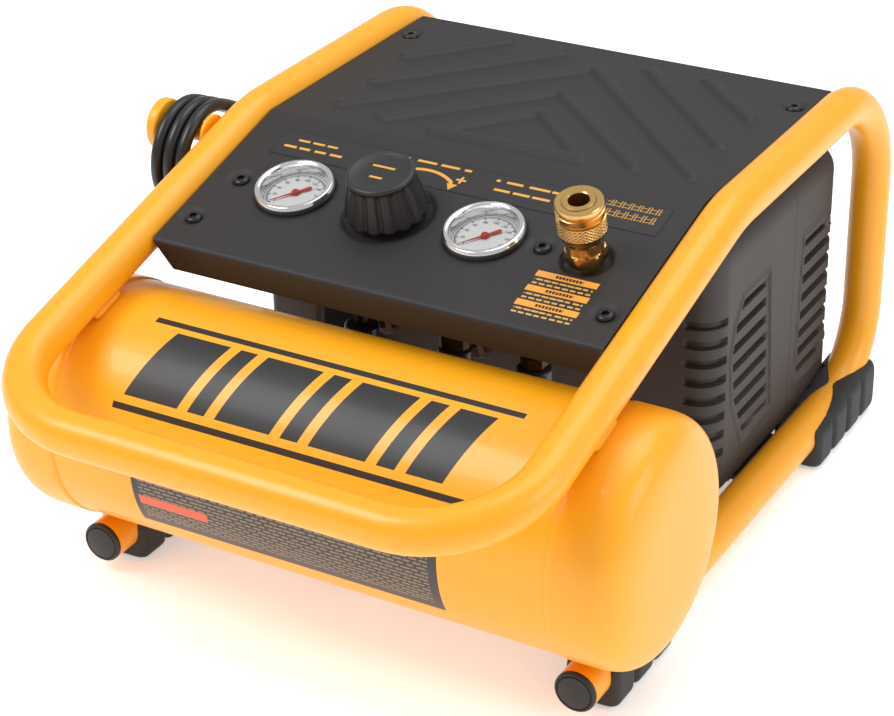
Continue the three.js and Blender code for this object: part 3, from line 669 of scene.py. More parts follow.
@dataclass
class RollFrame:
    """The bent tube with its two end plugs and the welds that hold the tank.

    Attributes:
        front_y: Where the lower rails end.
        rear_y: Middle of the rear uprights.
        knee_y: Where the upper rails start to slope.
        bar: y and z of the front crossbar.
        bends: Radii of the rear-low, rear-top, knee and front bends.
    """

    front_y: float = -29.0
    rear_y: float = 337.7
    knee_y: float = 132.7
    bar: tuple[float, float] = (-111.3, 140.4)
    bends: tuple[float, float, float, float] = (50.0, 62.0, 100.0, 55.0)

    def tube(self, palette: Palette) -> bpy.types.Object:
        """One tube: a side, the front bar bent in the slope plane, then the same side mirrored."""
        low, top, knee, front = self.bends
        middle = (np.array([self.knee_y, TOP_Z]) + np.array(self.bar)) / 2
        side = rounded_path([(-RAIL_X, self.front_y, LOW_Z), (-RAIL_X, self.rear_y, LOW_Z),
                             (-RAIL_X, self.rear_y, TOP_Z), (-RAIL_X, self.knee_y, TOP_Z),
                             (-RAIL_X, *middle)], (low, top, knee), 20)
        bar = rounded_path([(-RAIL_X, *middle), (-RAIL_X, *self.bar), (RAIL_X, *self.bar), (RAIL_X, *middle)],
                           (front, front), 26)
        other = mirrored(side[::-1], -1)
        path = np.concatenate([side[:-1], bar, other[1:]])
        normal = np.array([0.0, -(TOP_Z - self.bar[1]), self.knee_y - self.bar[0]])
        normal = normal / np.linalg.norm(normal)
        across = np.cross(np.broadcast_to(normal, bar.shape), tangents(bar))
        a = np.concatenate([np.tile([1.0, 0, 0], (len(side) - 1, 1)), across,
                            np.tile([-1.0, 0, 0], (len(other) - 1, 1))])
        shell = Shell().rings(tube(path, a, TUBE_R, 40))
        return shell.build("roll_frame_tube", palette.get(YELLOW), Slot.YELLOW,
                           stands_for=("frame_tube_left", "frame_tube_right", "frame_front_bar"), sharp=60)

    def plugs(self, palette: Palette) -> None:
        """A round plug in the front end of each lower rail."""
        profile = fillet([(9.3, -5), (9.3, 0.02), (11.05, 0.02), (11.05, 1.7), (10.2, 2.6), (9.6, 2.6),
                          (9.4, 2.1),
                          (9.0, 2.1), (8.7, 2.9), (1.0, 3.3)], 0.3, 3)
        for side, sign in (("left", -1), ("right", 1)):
            rings = placed(turned(profile), (sign * RAIL_X, self.front_y, LOW_Z), (1, 0, 0), (0, 0, 1),
                           (0, -1, 0))
            Shell().rings(rings).build(f"rail_plug_{side}", palette.get(PLASTIC), Slot.PLASTIC,
                                       stands_for=(f"frame_plug_{side}",), sharp=50)

    def welds(self, palette: Palette) -> None:
        """Short fillet welds where the rails and the sloping legs touch the tank.

        Each bead runs along its tube, and its radius swells and shrinks: 2.4 + 0.25·cos of the way along.
        """
        way = np.linspace(-1, 1, 41)
        radius = np.sqrt(np.clip(1 - way ** 6, 0.02, 1)) * (2.3 + 0.22 * np.cos(way * 40))
        shell = Shell()
        slope = np.array([0.0, self.bar[0] - self.knee_y, self.bar[1] - TOP_Z])
        slope = slope / np.linalg.norm(slope)
        up = np.array([0.0, slope[2], -slope[1]])
        for sign in (-1, 1):
            for out in (-1, 1):
                x = sign * RAIL_X + out * 6.6
                low = np.array([x, 0, TANK_Z - 64.0]) + way[:, None] * np.array([0, 12.0, 0])
                high = np.array([x, 0, TANK_Z]) + up * 64.6 + way[:, None] * slope * 11.0
                for path in (low, high):
                    shell.rings(tube(path, np.array([1.0, 0, 0]), radius, 14))
        shell.build("weld_beads", palette.get(YELLOW), Slot.YELLOW, sharp=70)

    def build(self, palette: Palette) -> None:
        """Builds the whole frame."""
        self.tube(palette)
        self.plugs(palette)
        self.welds(palette)


@dataclass
class Feet:
    """Four rubber feet clipped under the lower rails.

    Attributes:
        half: Half of a foot's width.
        front: y range of the front feet.
        rear: y range of the rear feet.
    """

    half: float = 15.0
    front: tuple[float, float] = (-14.0, 52.0)
    rear: tuple[float, float] = (244.0, 330.0)

    def block(self, y0: float, y1: float, top: float, lobes: int, lift: float) -> np.ndarray:
        """Rings of one foot along y: a rounded rectangle that swells between the grooves.

        The outline is a superellipse of power 6; its half width is 15 − 1.9·groove, where groove is 1 on each
        dividing line and falls to 0 within 3 mm of it; near the ends it draws in along a quarter circle.

        Args:
            y0: Front end.
            y1: Rear end.
            top: Height of the foot.
            lobes: Number of swells.
            lift: How much higher the rear end reaches.

        Returns:
            The rings.
        """
        y = np.unique(np.concatenate([np.linspace(y0, y1, 110),
                                      y0 + 5 * (1 - np.cos(np.linspace(0, np.pi / 2, 9))),
                                      y1 - 5 * (1 - np.cos(np.linspace(0, np.pi / 2, 9)))]))
        cell = (y1 - y0) / lobes
        gap = np.abs((y - y0) / cell - np.round((y - y0) / cell)) * cell
        inner = (y > y0 + cell / 2) & (y < y1 - cell / 2)
        groove = np.where(inner, np.exp(-(gap / 2.3) ** 2), 0.0)
        edge = np.minimum(y - y0, y1 - y)
        draw = 5 - np.sqrt(np.clip(25 - (5 - np.clip(edge, 0, 5)) ** 2, 0, 25))
        angle = np.linspace(0, 2 * np.pi, 72, endpoint=False)
        ca, sa = np.cos(angle), np.sin(angle)
        ex, ez = np.sign(ca) * np.abs(ca) ** 0.36, np.sign(sa) * np.abs(sa) ** 0.36
        half = self.half - 0.2 - 2.6 * groove - draw * 0.8
        rise = top + lift * smooth(y0, y1, y)
        bottom = 0.05 + 1.4 * groove + draw * 0.55
        roof = rise - draw * 0.6
        x = half[:, None] * ex[None]
        z = (bottom + roof)[:, None] / 2 + (roof - bottom)[:, None] / 2 * ez[None]
        return np.stack([x, np.repeat(y[:, None], len(angle), 1), z], -1)

    def build(self, palette: Palette) -> None:
        """Builds the four feet."""
        for side, sign in (("left", -1), ("right", 1)):
            for end, span, top, lobes, lift in (("front", self.front, 23.5, 3, 0.0),
                                                ("rear", self.rear, 23.5, 4, 9.5)):
                rings = self.block(*span, top, lobes, lift) + np.array([sign * RAIL_X, 0, 0])
                Shell().rings(rings).build(f"rubber_foot_{end}_{side}", palette.get(RUBBER), Slot.RUBBER,
                                           stands_for=(f"foot_{end}_{side}",), sharp=50)


@dataclass
class Tank:
    """The air tank: a rolled shell and two dished heads.

    Attributes:
        radius: Outer radius of the shell.
        head: Outer radius of the heads' skirts.
        half: Half of the shell's length.
        dome: Where the heads start to close.
        end: Half of the tank's length.
        power: Exponent of the heads' outline.
    """

    radius: float = 62.6
    head: float = 63.4
    half: float = 140.2
    dome: float = 149.9
    end: float = 180.4
    power: float = 3.9

    def paint(self) -> bpy.types.Material:
        """Yellow enamel with two black rules, plain slanted bars between them and a small dark data panel below.

        The shell's own flat coordinates are x and the arc length up from the front, in millimetres. A bar is kept
        where the way along, less the lean of the bars, falls inside its span.
        """
        g = Graph("tank_enamel_printed")
        u, v = g.sheet()
        rules = (g.inside(u - v * 0.02, v, (-105.5, 104.5, 81.0, 84.6))
                 + g.inside(u, v, (-105.5, 94.5, 30.8, 34.2)))
        lean = u - (v - 58.0) * 0.34
        spans = ((-94.0, -62.0), (-56.0, -46.0), (-40.0, -8.0), (-2.0, 8.0), (14.0, 46.0), (52.0, 62.0),
                 (68.0, 88.0))
        bars: Wire = g.inside(lean, v, (*spans[0], 38.5, 77.5))
        for span in spans[1:]:
            bars = bars + g.inside(lean, v, (*span, 38.5, 77.5))
        panel = g.inside(u, v, (-92.0, 84.0, -33.5, 6.0))
        text = g.lines(u, v, (-88.0, 79.0, -29.0, 4.0), 15, 5.5, 3.0)
        tags = g.inside(u, v, (-89.0, -48.0, -19.0, -13.2)) + g.inside(u, v, (-89.0, -52.0, -3.4, 2.0))
        ink = (rules + bars).least(1.0)
        slow = g.noise(24.0, 4.0)
        yellow = g.mix(slow, [c * 0.98 for c in YELLOW.color] + [1],
                       [min(1, c * 1.02) for c in YELLOW.color] + [1])
        shade = g.mix(ink, yellow, (0.012, 0.011, 0.011, 1))
        shade = g.mix(panel, shade, (0.022, 0.018, 0.018, 1))
        shade = g.mix(text * (1.0 - tags.least(1.0)) * 0.6, shade, (0.40, 0.27, 0.13, 1))
        shade = g.mix(tags.least(1.0), shade, (0.75, 0.10, 0.03, 1))
        return g.shade(Base_Color=shade, Coat_Weight=0.16 - ink * 0.12, Coat_Roughness=0.08,
                       Roughness=0.38 + ink * 0.06 + (slow - 0.5) * 0.08,
                       Normal=g.bump(g.noise(260.0, 2.0), 0.00004))

    def shell(self, palette: Palette) -> None:
        """The rolled shell with its flat coordinates, and its bosses on top."""
        count, angle = 180, np.linspace(0, 360, 180, endpoint=False)
        x = np.linspace(-self.half, self.half, 57)
        rings = along_x(turned(np.stack([np.full(57, self.radius), x], -1), count), 0, 0, TANK_Z)
        arc_up = (180.0 - angle) * math.pi / 180 * self.radius
        uv = np.stack(np.meshgrid(x, arc_up, indexing="ij"), -1)
        shell = Shell().rings(rings, uv=uv)
        boss = fillet([(9.0, 0), (9.0, 34.4), (7.6, 35.6), (1.0, 35.6)], 0.6, 3)
        for port in (-25.0, 30.0, 75.0):
            shell.rings(upright(turned(boss, 32), port, 52.0, 104.2))
        shell.rings(upright(turned(fillet([(8.0, 0), (8.0, 13.5), (1.0, 13.5)], 0.5, 3), 32), 0, 22.0, 28.1))
        shell.build("tank_shell_painted", self.paint(), Slot.YELLOW, stands_for=("tank_shell",), sharp=40)

    def heads(self, palette: Palette) -> None:
        """The two heads: skirt, then |r/R|^p + |x/D|^p = 1 to the middle."""
        t = np.linspace(0, 1, 44) * math.pi / 2
        r = self.head * np.cos(t) ** (2 / self.power)
        x = self.dome + (self.end - self.dome) * np.sin(t) ** (2 / self.power)
        keep = r > 1.5
        skirt = [(self.radius - 1.5, self.half - 0.6), (self.head - 0.9, self.half - 0.3),
                 (self.head, self.half + 0.7),
                 (self.head, self.half + 4.0)]
        profile = np.concatenate([skirt, np.stack([r, x], -1)[keep]])
        for side, sign in (("left", -1.0), ("right", 1.0)):
            rings = along_x(turned(profile, 160), 0, 0, TANK_Z, sign)
            Shell().rings(rings).build(f"tank_head_dished_{side}", palette.get(YELLOW), Slot.YELLOW,
                                       stands_for=(f"tank_head_{side}",), sharp=60)

    def build(self, palette: Palette) -> None:
        """Builds the tank."""
        self.shell(palette)
        self.heads(palette)


@dataclass
class Console:
    """The folded sheet cover: front lip, sloping control plate, top plate and rear lip.

    Attributes:
        half: Half of its width.
        slope: Length of the sloping plate.
        lip: Depth of the front lip.
        taper: How far the lip's ends draw in.
        rear_y: Outer face of the rear lip.
        drop: Depth of the rear lip.
        cell: Grid size.
    """

    half: float = 129.0
    slope: float = 118.0
    lip: float = 17.5
    taper: float = 9.0
    rear_y: float = 298.0
    drop: float = 37.0
    cell: float = 1.4
    screws: tuple = ((-111.7, 58.7), (66.7, 58.3), (-118.7, 94.3), (118.7, 94.3))
    top_screws: tuple = ((-120.0, 266.0), (120.0, 266.0))
    holes: tuple = ((-77.5, 59.0, 20.6, 5.0), (34.7, 59.0, 20.6, 5.0), (-21.4, 59.0, 25.0, 1.8),
                    (92.0, 60.0, 13.6, 3.5))

    def profile(self, inset: float) -> np.ndarray:
        """The fold line in (y, z) from the front lip to the rear lip, rounded at the folds, moved in by inset."""

        def corner(s: float, h: float) -> tuple[float, float]:
            """The (y, z) of a point s down the slope and h off it."""
            point = on_slope(0.0, s, h)
            return float(point[1]), float(point[2])
        crease, foot = corner(self.slope - inset, -inset), corner(self.slope - inset, -self.lip)
        knee = (KNEE[1] - inset * math.tan(SLOPE / 2), KNEE[2] - inset)
        rear = (self.rear_y - inset, KNEE[2] - inset)
        end = (self.rear_y - inset, KNEE[2] - self.drop)
        radii = [max(2.4 - inset, 0.4), 14.0 + inset, max(3.0 - inset, 0.6)]
        line = rounded_path([(0, *foot), (0, *crease), (0, *knee), (0, *rear), (0, *end)], radii, 5)[:, 1:]
        return line

    def ribs(self, x: np.ndarray, y: np.ndarray) -> np.ndarray:
        """Height of the pressed ribs on the top plate at (x, y).

        A rib is a rounded ridge about a polyline: 1.9 mm high, with its height a smooth step of the distance from
        the line between 2.6 and 5.4 mm. The middle triangle is a flat raised face.
        """
        lines = (((-104.8, 234.4), (-64.2, 283.2)), ((-101.2, 193.7), (-28.1, 280.2)),
                 ((-99.7, 157.1), (-0.3, 266.8), (110.6, 155.4)),
                 ((-68.9, 149.4), (-1.3, 226.6), (79.8, 152.0)),
                 ((29.0, 276.6), (107.4, 197.7)), ((63.9, 277.7), (106.1, 238.8)),
                 ((-36.2, 147.8), (2.8, 196.5), (50.0, 149.3), (-36.2, 147.8)))
        near = np.full(x.shape, 1e3)
        for line in lines:
            for (ax, ay), (bx, by) in zip(line[:-1], line[1:]):
                dx, dy = bx - ax, by - ay
                t = np.clip(((x - ax) * dx + (y - ay) * dy) / (dx * dx + dy * dy), 0, 1)
                near = np.minimum(near, np.hypot(x - ax - t * dx, y - ay - t * dy))
        return 1.9 * (1 - smooth(2.2, 5.2, near))

    def sheet(self, palette: Palette) -> None:
        """The cover as one closed sheet: the outer grid carries ribs, screw dimples and the controls' wells."""
        line = self.profile(0.0)
        step = np.linalg.norm(np.diff(line, axis=0), axis=1)
        parts = [line[:1]]
        for a, b, length in zip(line[:-1], line[1:], step):
            n = max(1, int(round(length / self.cell)))
            parts.append(a + (b - a) * (np.arange(1, n + 1)[:, None] / n))
        outer = np.concatenate(parts)
        t = tangents(np.c_[np.zeros(len(outer)), outer])[:, 1:]
        normal = np.stack([-t[:, 1], t[:, 0]], -1)
        inner = outer - normal * PLATE_THICK
        share = np.linspace(-1, 1, int(2 * self.half / self.cell))
        down = np.clip(((outer - np.array([KNEE[1], KNEE[2]])) @ np.array([-COS, -SIN])) , 0, None)
        height = (outer - np.array([KNEE[1], KNEE[2]])) @ np.array([-SIN, COS])
        lip = (down > self.slope - 3) & (height < -0.6)
        width = self.half - np.where(lip, self.taper * np.clip(-height / self.lip, 0, 1), 0.0)
        x = width[:, None] * share[None]
        y = np.repeat(outer[:, :1], len(share), 1)
        s = np.repeat(down[:, None], len(share), 1)
        flat_top = (outer[:, 0] > KNEE[1] + 6) & (outer[:, 0] < self.rear_y - 4)
        slope_part = (down > 3) & (down < self.slope - 4)
        lift = np.where(flat_top[:, None], self.ribs(x, y), 0.0)
        for cx, cs in self.screws:
            lift -= np.where(slope_part[:, None], 1.7 * (1 - smooth(4.2, 8.2, np.hypot(x - cx, s - cs))), 0.0)
        for cx, cy in self.top_screws:
            lift -= np.where(flat_top[:, None], 1.7 * (1 - smooth(4.2, 8.2, np.hypot(x - cx, y - cy))), 0.0)
        for cx, cs, r, deep in self.holes:
            lift -= np.where(slope_part[:, None],
                             deep * (1 - smooth(r - 2.0, r + 0.3, np.hypot(x - cx, s - cs))), 0.0)
        top = np.stack([x, y + normal[:, :1] * lift, outer[:, 1:] + normal[:, 1:] * lift], -1)
        bottom = np.stack([x, np.repeat(inner[:, :1], len(share), 1) + normal[:, :1] * np.minimum(lift, 0),
                           np.repeat(inner[:, 1:], len(share), 1) + normal[:, 1:] * np.minimum(lift, 0)], -1)
        Shell().slab(top, bottom).build("console_sheet", palette.get(POWDER), Slot.POWDER,
                                        stands_for=("console_cover",), sharp=48)

    def screw_heads(self, palette: Palette) -> None:
        """Six pan heads with a star-shaped socket, each in its dimple."""
        profile = [(4.6, -2.2), (4.6, -0.4), (4.2, 0.7), (3.2, 1.3), (2.3, 1.45), (2.0, 1.35), (1.9, -0.2),
                   (0.6, -0.3)]
        body = turned(profile, 36)
        angle = np.linspace(0, 2 * np.pi, 36, endpoint=False)
        body[5:8, :, :2] *= (1 - 0.16 * np.cos(angle * 6))[None, :, None]
        shell = Shell()
        for x, s in self.screws:
            shell.rings(on_plate(body, x, s, -0.9))
        for x, y in self.top_screws:
            shell.rings(upright(body, x, y, KNEE[2] - 0.9))
        shell.build("console_screws", palette.get(SCREW), Slot.POWDER, sharp=50)

    def print_material(self) -> bpy.types.Material:
        """Control legends: a glossy black strip with gold stand-in lines, a turning arrow and a plus sign.

        Flat coordinates are x and the distance down the slope, in millimetres. Where nothing is printed the sheet
        is see-through.
        """
        g = Graph("console_legend")
        u, v = g.sheet()
        gold = (g.lines(u, v, (-100.0, -72.0, 18.0, 21.6), 1, 9.0, 1.0) + g.lines(u, v,
                                                                                  (-106.0, -68.0, 24.0,
                                                                                   28.0), 1, 9.5, 2.0)
                + g.lines(u, v, (-38.0, 4.0, 13.5, 17.5), 1, 14.0, 5.0)
                + g.lines(u, v, (20.0, 58.0, 16.0, 20.0), 1, 13.0, 7.0) + g.lines(u, v,
                                                                                  (22.0, 54.0, 23.0, 27.0),
                                                                                  1, 11.0, 9.0))
        ring = ((u + 18.0) * (u + 18.0) + (v - 47.0) * (v - 47.0)).root()
        arrow = ring.above(24.6) * ring.below(26.6) * u.above(-26.0) * u.below(-1.0) * v.below(34.0)
        head = g.inside(u, v, (-4.0, 2.4, 27.0, 34.0)) * (abs(u + 0.8) * 1.6 + (v - 28.0)).below(5.0) \
            * v.above(28.0)
        plus = (g.inside(u, v, (-0.6, 5.0, 23.1, 24.5)) + g.inside(u, v, (1.5, 2.9, 21.0, 26.6))).least(1.0)
        marks = (g.inside(u, v, (82.0, 112.0, 13.5, 18.5)) + g.inside(u, v, (82.0, 112.0, 20.5, 26.0))) \
            * (u * 0.2).fract().above(0.16) * (1.0 - (u * 0.2).fract().above(0.28) * (u * 0.2).fract().below(0.88)
                                              * (v * 0.4).fract().above(0.2))
        ink = (gold + arrow + head + plus + marks * 0.7).least(1.0)
        strip = g.inside(u, v, (-110.0, 117.0, 12.3, 34.0))
        rim = strip - g.inside(u, v, (-109.3, 116.3, 13.0, 33.3))
        return g.shade(Base_Color=g.mix(ink, g.mix(rim, (0.017, 0.015, 0.015, 1), (0.006, 0.006, 0.006, 1)),
                                        (0.72, 0.36, 0.05, 1)), Roughness=0.38, Alpha=strip)

    def caution_material(self) -> bpy.types.Material:
        """Three orange bars, each above two rows of gold stand-in lines."""
        g = Graph("console_caution")
        u, v = g.sheet()
        bars: Union[Wire, float] = 0.0
        text: Union[Wire, float] = 0.0
        for i, s0 in enumerate((75.5, 86.6, 97.7)):
            bars = g.inside(u, v, (73.5, 107.0, s0, s0 + 4.3)) + bars
            text = g.lines(u, v, (74.5, 106.0, s0 + 4.9, s0 + 10.6), 2, 4.2, 11.0 + i) + text
            bars = bars - g.inside(u, v, (84.0, 99.0, s0 + 1.1, s0 + 3.1)) * (u * 0.55).fract().above(0.25)
        ink = (bars + text).least(1.0)
        return g.shade(Base_Color=g.mix(text.least(1.0), (0.83, 0.35, 0.045, 1), (0.62, 0.36, 0.10, 1)),
                       Roughness=0.42, Alpha=ink)

    def decal(self, name: str, box: Sequence[float], material: bpy.types.Material) -> None:
        """A thin printed sheet on the slope over the rectangle (x0, x1, s0, s1)."""
        x, s = np.meshgrid(np.linspace(box[0], box[1], 30), np.linspace(box[2], box[3], 8))
        uv = np.stack([x, s], -1)
        Shell().slab(on_slope(x, s, 0.16), on_slope(x, s, 0.02), uv).build(name, material, Slot.POWDER)

    def build(self, palette: Palette) -> None:
        """Builds the cover, its screws and its print."""
        self.sheet(palette)
        self.screw_heads(palette)
        self.decal("console_legend_sheet", (-110.0, 117.0, 12.3, 34.0), self.print_material())
        self.decal("console_caution_sheet", (73.0, 107.5, 75.0, 109.0), self.caution_material())


@dataclass
class Gauge:
    """A panel gauge: case ring, rolled bezel, printed dial, needle and lens.

    Attributes:
        node: Prefix of its CAD nodes.
        body: Body of its needle.
        x: Place across the plate.
        radius: Outer radius of the case.
        labels: Numbers round the dial, first to last.
    """

    node: str
    body: Body
    x: float
    radius: float = 20.0
    labels: tuple = tuple(range(0, 201, 20))

    def put(self, rings: np.ndarray) -> np.ndarray:
        """A turned shape on this gauge's axis."""
        return on_plate(rings, self.x, ROW)

    def dial(self, palette: Palette) -> None:
        """The card, with its marks and numbers as thin raised ink."""
        r = self.radius
        card = [(r - 3.4, -2.7), (r - 3.0, -2.7), (r - 3.0, -1.9), (1.0, -1.9)]
        Shell().rings(self.put(turned(card, 64))).build(f"{self.node}_card", palette.get(DIAL), Slot.DIAL,
                                                        stands_for=(f"{self.node}_dial",))
        ink = Shell()
        ticks = np.arange(0, 101)
        angle = np.radians(225.0 - ticks * 2.7)
        long = ticks % 10 == 0
        middle = ticks % 5 == 0
        inner = np.where(long, r - 6.3, np.where(middle, r - 5.7, r - 5.2))
        half = np.where(long, 0.20, 0.11)
        outer = r - 4.0
        radial = np.stack([np.cos(angle), np.sin(angle)], -1)
        side = np.stack([-radial[:, 1], radial[:, 0]], -1) * half[:, None]
        for a, s, i in zip(radial, side, inner):
            base = np.array([a * i - s, a * i + s, a * outer + s, a * outer - s])
            ink.rings(self.put(np.stack([np.c_[base, np.full(4, -1.88)], np.c_[base, np.full(4, -1.80)]])))
        ink.build(f"{self.node}_marks", palette.get(INK), Slot.DIAL, sharp=30)
        self.numbers(palette)

    def numbers(self, palette: Palette) -> None:
        """The numbers, set out round the dial and joined into one mesh."""
        points, faces, size = [], [], 0
        for value, turn in zip(self.labels, np.linspace(225.0, -45.0, len(self.labels))):
            curve = bpy.data.curves.new("number", "FONT")
            curve.body, curve.size, curve.align_x, curve.align_y = str(value), 2.5, "CENTER", "CENTER"
            text = bpy.data.objects.new("number", curve)
            mesh = text.to_mesh()
            flat = np.zeros(len(mesh.vertices) * 3)
            mesh.vertices.foreach_get("co", flat)
            flat = flat.reshape(-1, 3)
            reach = self.radius - 8.4
            spot = (reach * math.cos(math.radians(turn)), reach * math.sin(math.radians(turn)), -1.82)
            points.append(flat + np.array(spot))
            faces += [[v + size for v in p.vertices] for p in mesh.polygons]
            size += len(flat)
            text.to_mesh_clear()
            bpy.data.objects.remove(text)
            bpy.data.curves.remove(curve)
        shell = Shell(points=[self.put(np.concatenate(points))], faces=faces, uvs=[np.zeros((size, 2))],
                      size=size)
        shell.build(f"{self.node}_numbers", palette.get(INK), Slot.DIAL)

    def needle(self, palette: Palette) -> None:
        """A thin pointer at zero with a broad tail across the hub, and a domed hub."""
        turn = math.radians(225.0)
        outline = np.array([(-9.0, 0.15), (-8.2, 1.35), (-4.5, 0.9), (0, 0.75), (8.0, 0.35), (14.2, 0.1),
                            (14.2, -0.1), (8.0, -0.35), (0, -0.75), (-4.5, -0.9), (-8.2, -1.35),
                            (-9.0, -0.15)])
        spin = np.array([[math.cos(turn), math.sin(turn)], [-math.sin(turn), math.cos(turn)]])
        flat = outline @ spin
        shell = Shell().rings(self.put(np.stack([np.c_[flat, np.full(len(flat), h)] for h in (-1.0, -0.72)])))
        hub = fillet([(2.1, -1.5), (2.1, -0.2), (1.3, 0.5), (0.2, 0.6)], 0.5, 4)
        shell.rings(self.put(turned(hub, 28)))
        shell.build(f"{self.node}_pointer", palette.get(RED), Slot.NEEDLE, body=self.body,
                    stands_for=(f"{self.node}_needle",), sharp=40)

    def build(self, palette: Palette) -> None:
        """Builds the gauge."""
        r = self.radius
        case = fillet([(6.0, -22), (r - 2.4, -21), (r + 1.0, -19), (r + 1.0, -1.6), (r + 1.4, -0.6),
                       (r + 1.2, 1.3),
                       (r - 2.6, 1.3), (r - 2.6, -3.0), (0.8, -3.0)], 0.6, 3)
        Shell().rings(self.put(turned(case, 96))).build(f"{self.node}_body", palette.get(PLASTIC),
                                                        Slot.PLASTIC,
                                                        stands_for=(f"{self.node}_case",), sharp=50)
        bezel = fillet([(r - 2.9, -1.7), (r - 1.2, 1.35), (r + 1.3, 1.35), (r + 1.4, 3.2), (r + 0.5, 4.8),
                        (r - 0.8, 5.0),
                        (r - 2.0, 4.4), (r - 2.5, 3.0), (r - 2.9, -1.7)], 0.7, 4)
        Shell().rings(self.put(turned(bezel[:-1], 96)), caps=False, loop=True).build(
            f"{self.node}_ring", palette.get(BRIGHT), Slot.BRIGHT, stands_for=(f"{self.node}_bezel",),
            sharp=60)
        self.dial(palette)
        self.needle(palette)
        lens = [(r - 2.75, 2.0), (r - 2.75, 2.7), (r - 6.0, 3.1), (r - 12.0, 3.35), (0.8, 3.4)]
        Shell().rings(self.put(turned(lens, 64))).build(f"{self.node}_glass", palette.get_glass(), Slot.GLASS,
                                                        stands_for=(f"{self.node}_lens",))


@dataclass
class Controls:
    """The regulator knob and the brass quick coupler.

    Attributes:
        knob: x, base radius, top radius and height of the knob.
        coupler: x, distance down the slope, and sleeve radius of the coupler.
    """

    knob: tuple[float, float, float, float] = (-21.4, 22.4, 17.0, 26.0)
    coupler: tuple[float, float, float] = (92.0, 60.0, 12.3)

    def regulator_knob(self, palette: Palette) -> None:
        """The knob: radius falls from base to top, and sixteen grooves fade out under the cap's rim."""
        x, base, top, high = self.knob
        h = np.array([2.5, 3.0, 4.0, 8, 12, 16, 20, 22.0, 23.0, 23.6, 24.4, 25.2, 25.8, 26.0, 25.9, 25.5,
                      25.5, 25.5])
        slope = base + (top - base) * (h - 2.5) / (high - 2.5)
        r = np.concatenate([slope[:9],
                            [top + 0.9, top + 0.9, top + 0.7, top + 0.1, top - 1.0, top - 1.5, top - 2.0,
                             8.0, 0.8]])
        r[0] -= 0.5
        depth = np.array([1.2, 1.3, 1.45, 1.45, 1.4, 1.3, 1.2, 1.0, 0.3] + [0.0] * 9)
        rings = on_plate(turned(np.stack([r, h], -1), 256, 16, depth), x, ROW)
        Shell().rings(rings).build("regulator_knob_fluted", palette.get(PLASTIC), Slot.PLASTIC,
                                   body=Body.KNOB,
                                   stands_for=("regulator_knob",), sharp=50)
        mark = Shell()
        for lift, wide in ((4.2, 6.4), (-4.6, 3.6)):
            gx = np.array([-wide, wide, wide, -wide])
            gy = np.array([lift - 0.7, lift - 0.7, lift + 0.7, lift + 0.7])
            mark.rings(on_plate(np.stack([np.c_[gx, gy, np.full(4, h)] for h in (25.45, 25.62)]), x, ROW))
        mark.build("regulator_knob_mark", palette.get(Finish("legend_gold", (0.72, 0.36, 0.05), 0.4)),
                   Slot.PLASTIC,
                   body=Body.KNOB, sharp=30)

    def quick_coupler(self, palette: Palette) -> None:
        """The fixed body: hexagonal foot, neck and bore. The bore is an open well down to its plug."""
        x, s, _ = self.coupler
        angle = np.linspace(0, 2 * np.pi, 96, endpoint=False)
        fold = (angle + math.pi / 6) % (math.pi / 3) - math.pi / 6
        hexagon = 11.0 * math.cos(math.pi / 6) / np.cos(fold)
        profile = np.array([(8.0, -24.0), (8.0, 0.4), (10.2, 0.5), (11.4, 1.3), (11.4, 6.6), (10.2, 7.5),
                            (9.6, 7.7),
                            (9.3, 12.2), (8.5, 12.6), (8.5, 36.3), (7.9, 36.9), (6.0, 36.9), (5.4, 36.4),
                            (5.2, 35.0),
                            (5.2, 10.0), (1.0, 10.0)])
        rings = turned(profile, 96)
        flat = np.minimum(hexagon[None], profile[2:6, :1])
        rings[2:6, :, :2] = np.stack([flat * np.cos(angle), flat * np.sin(angle)], -1)
        Shell().rings(on_plate(rings, x, s)).build("coupler_hex_body", palette.get(BRASS), Slot.BRASS,
                                                   stands_for=("coupler_body",), sharp=32)

    def coupler_sleeve(self, palette: Palette) -> None:
        """The sliding sleeve with two grooves and a knurled band.

        In the band the radius rises by 0.32·(|sin(n·a + k·h)| and |sin(n·a − k·h)|) less one, whichever is lower,
        so that the two leaning sets of grooves cut diamonds.
        """
        x, s, big = self.coupler
        band = np.linspace(19.6, 26.4, 34)
        lower = [(8.7, 13.2), (9.8, 13.2), (10.2, 13.6), (11.2, 16.0), (11.9, 18.6), (big, 19.2)]
        upper = [(big, 26.8), (big - 0.9, 27.1), (big - 0.9, 28.3), (big, 28.7), (big, 31.3),
                 (big - 0.8, 31.7),
                 (big - 0.8, 32.7), (big, 33.1), (big, 35.3), (big - 0.5, 36.0), (8.7, 36.0)]
        profile = np.array(lower + [(big, h) for h in band] + upper)
        count = 300
        rings = turned(profile, count)
        angle = np.linspace(0, 2 * np.pi, count, endpoint=False)
        n, k = 30, 3.4
        cross = np.minimum(np.abs(np.sin(angle[None] * n / 2 + band[:, None] * k / 2)),
                           np.abs(np.sin(angle[None] * n / 2 - band[:, None] * k / 2)))
        r = big - 0.42 * (1 - np.clip(cross * 2.2, 0, 1))
        a, b = len(lower), len(lower) + len(band)
        rings[a:b, :, 0], rings[a:b, :, 1] = r * np.cos(angle), r * np.sin(angle)
        Shell().rings(on_plate(rings, x, s), caps=False, loop=True).build(
            "coupler_sleeve_knurled", palette.get(BRASS), Slot.BRASS, body=Body.SLEEVE,
            stands_for=("coupler_sleeve",), sharp=40)

    def build(self, palette: Palette) -> None:
        """Builds the controls."""
        self.regulator_knob(palette)
        self.quick_coupler(palette)
        self.coupler_sleeve(palette)


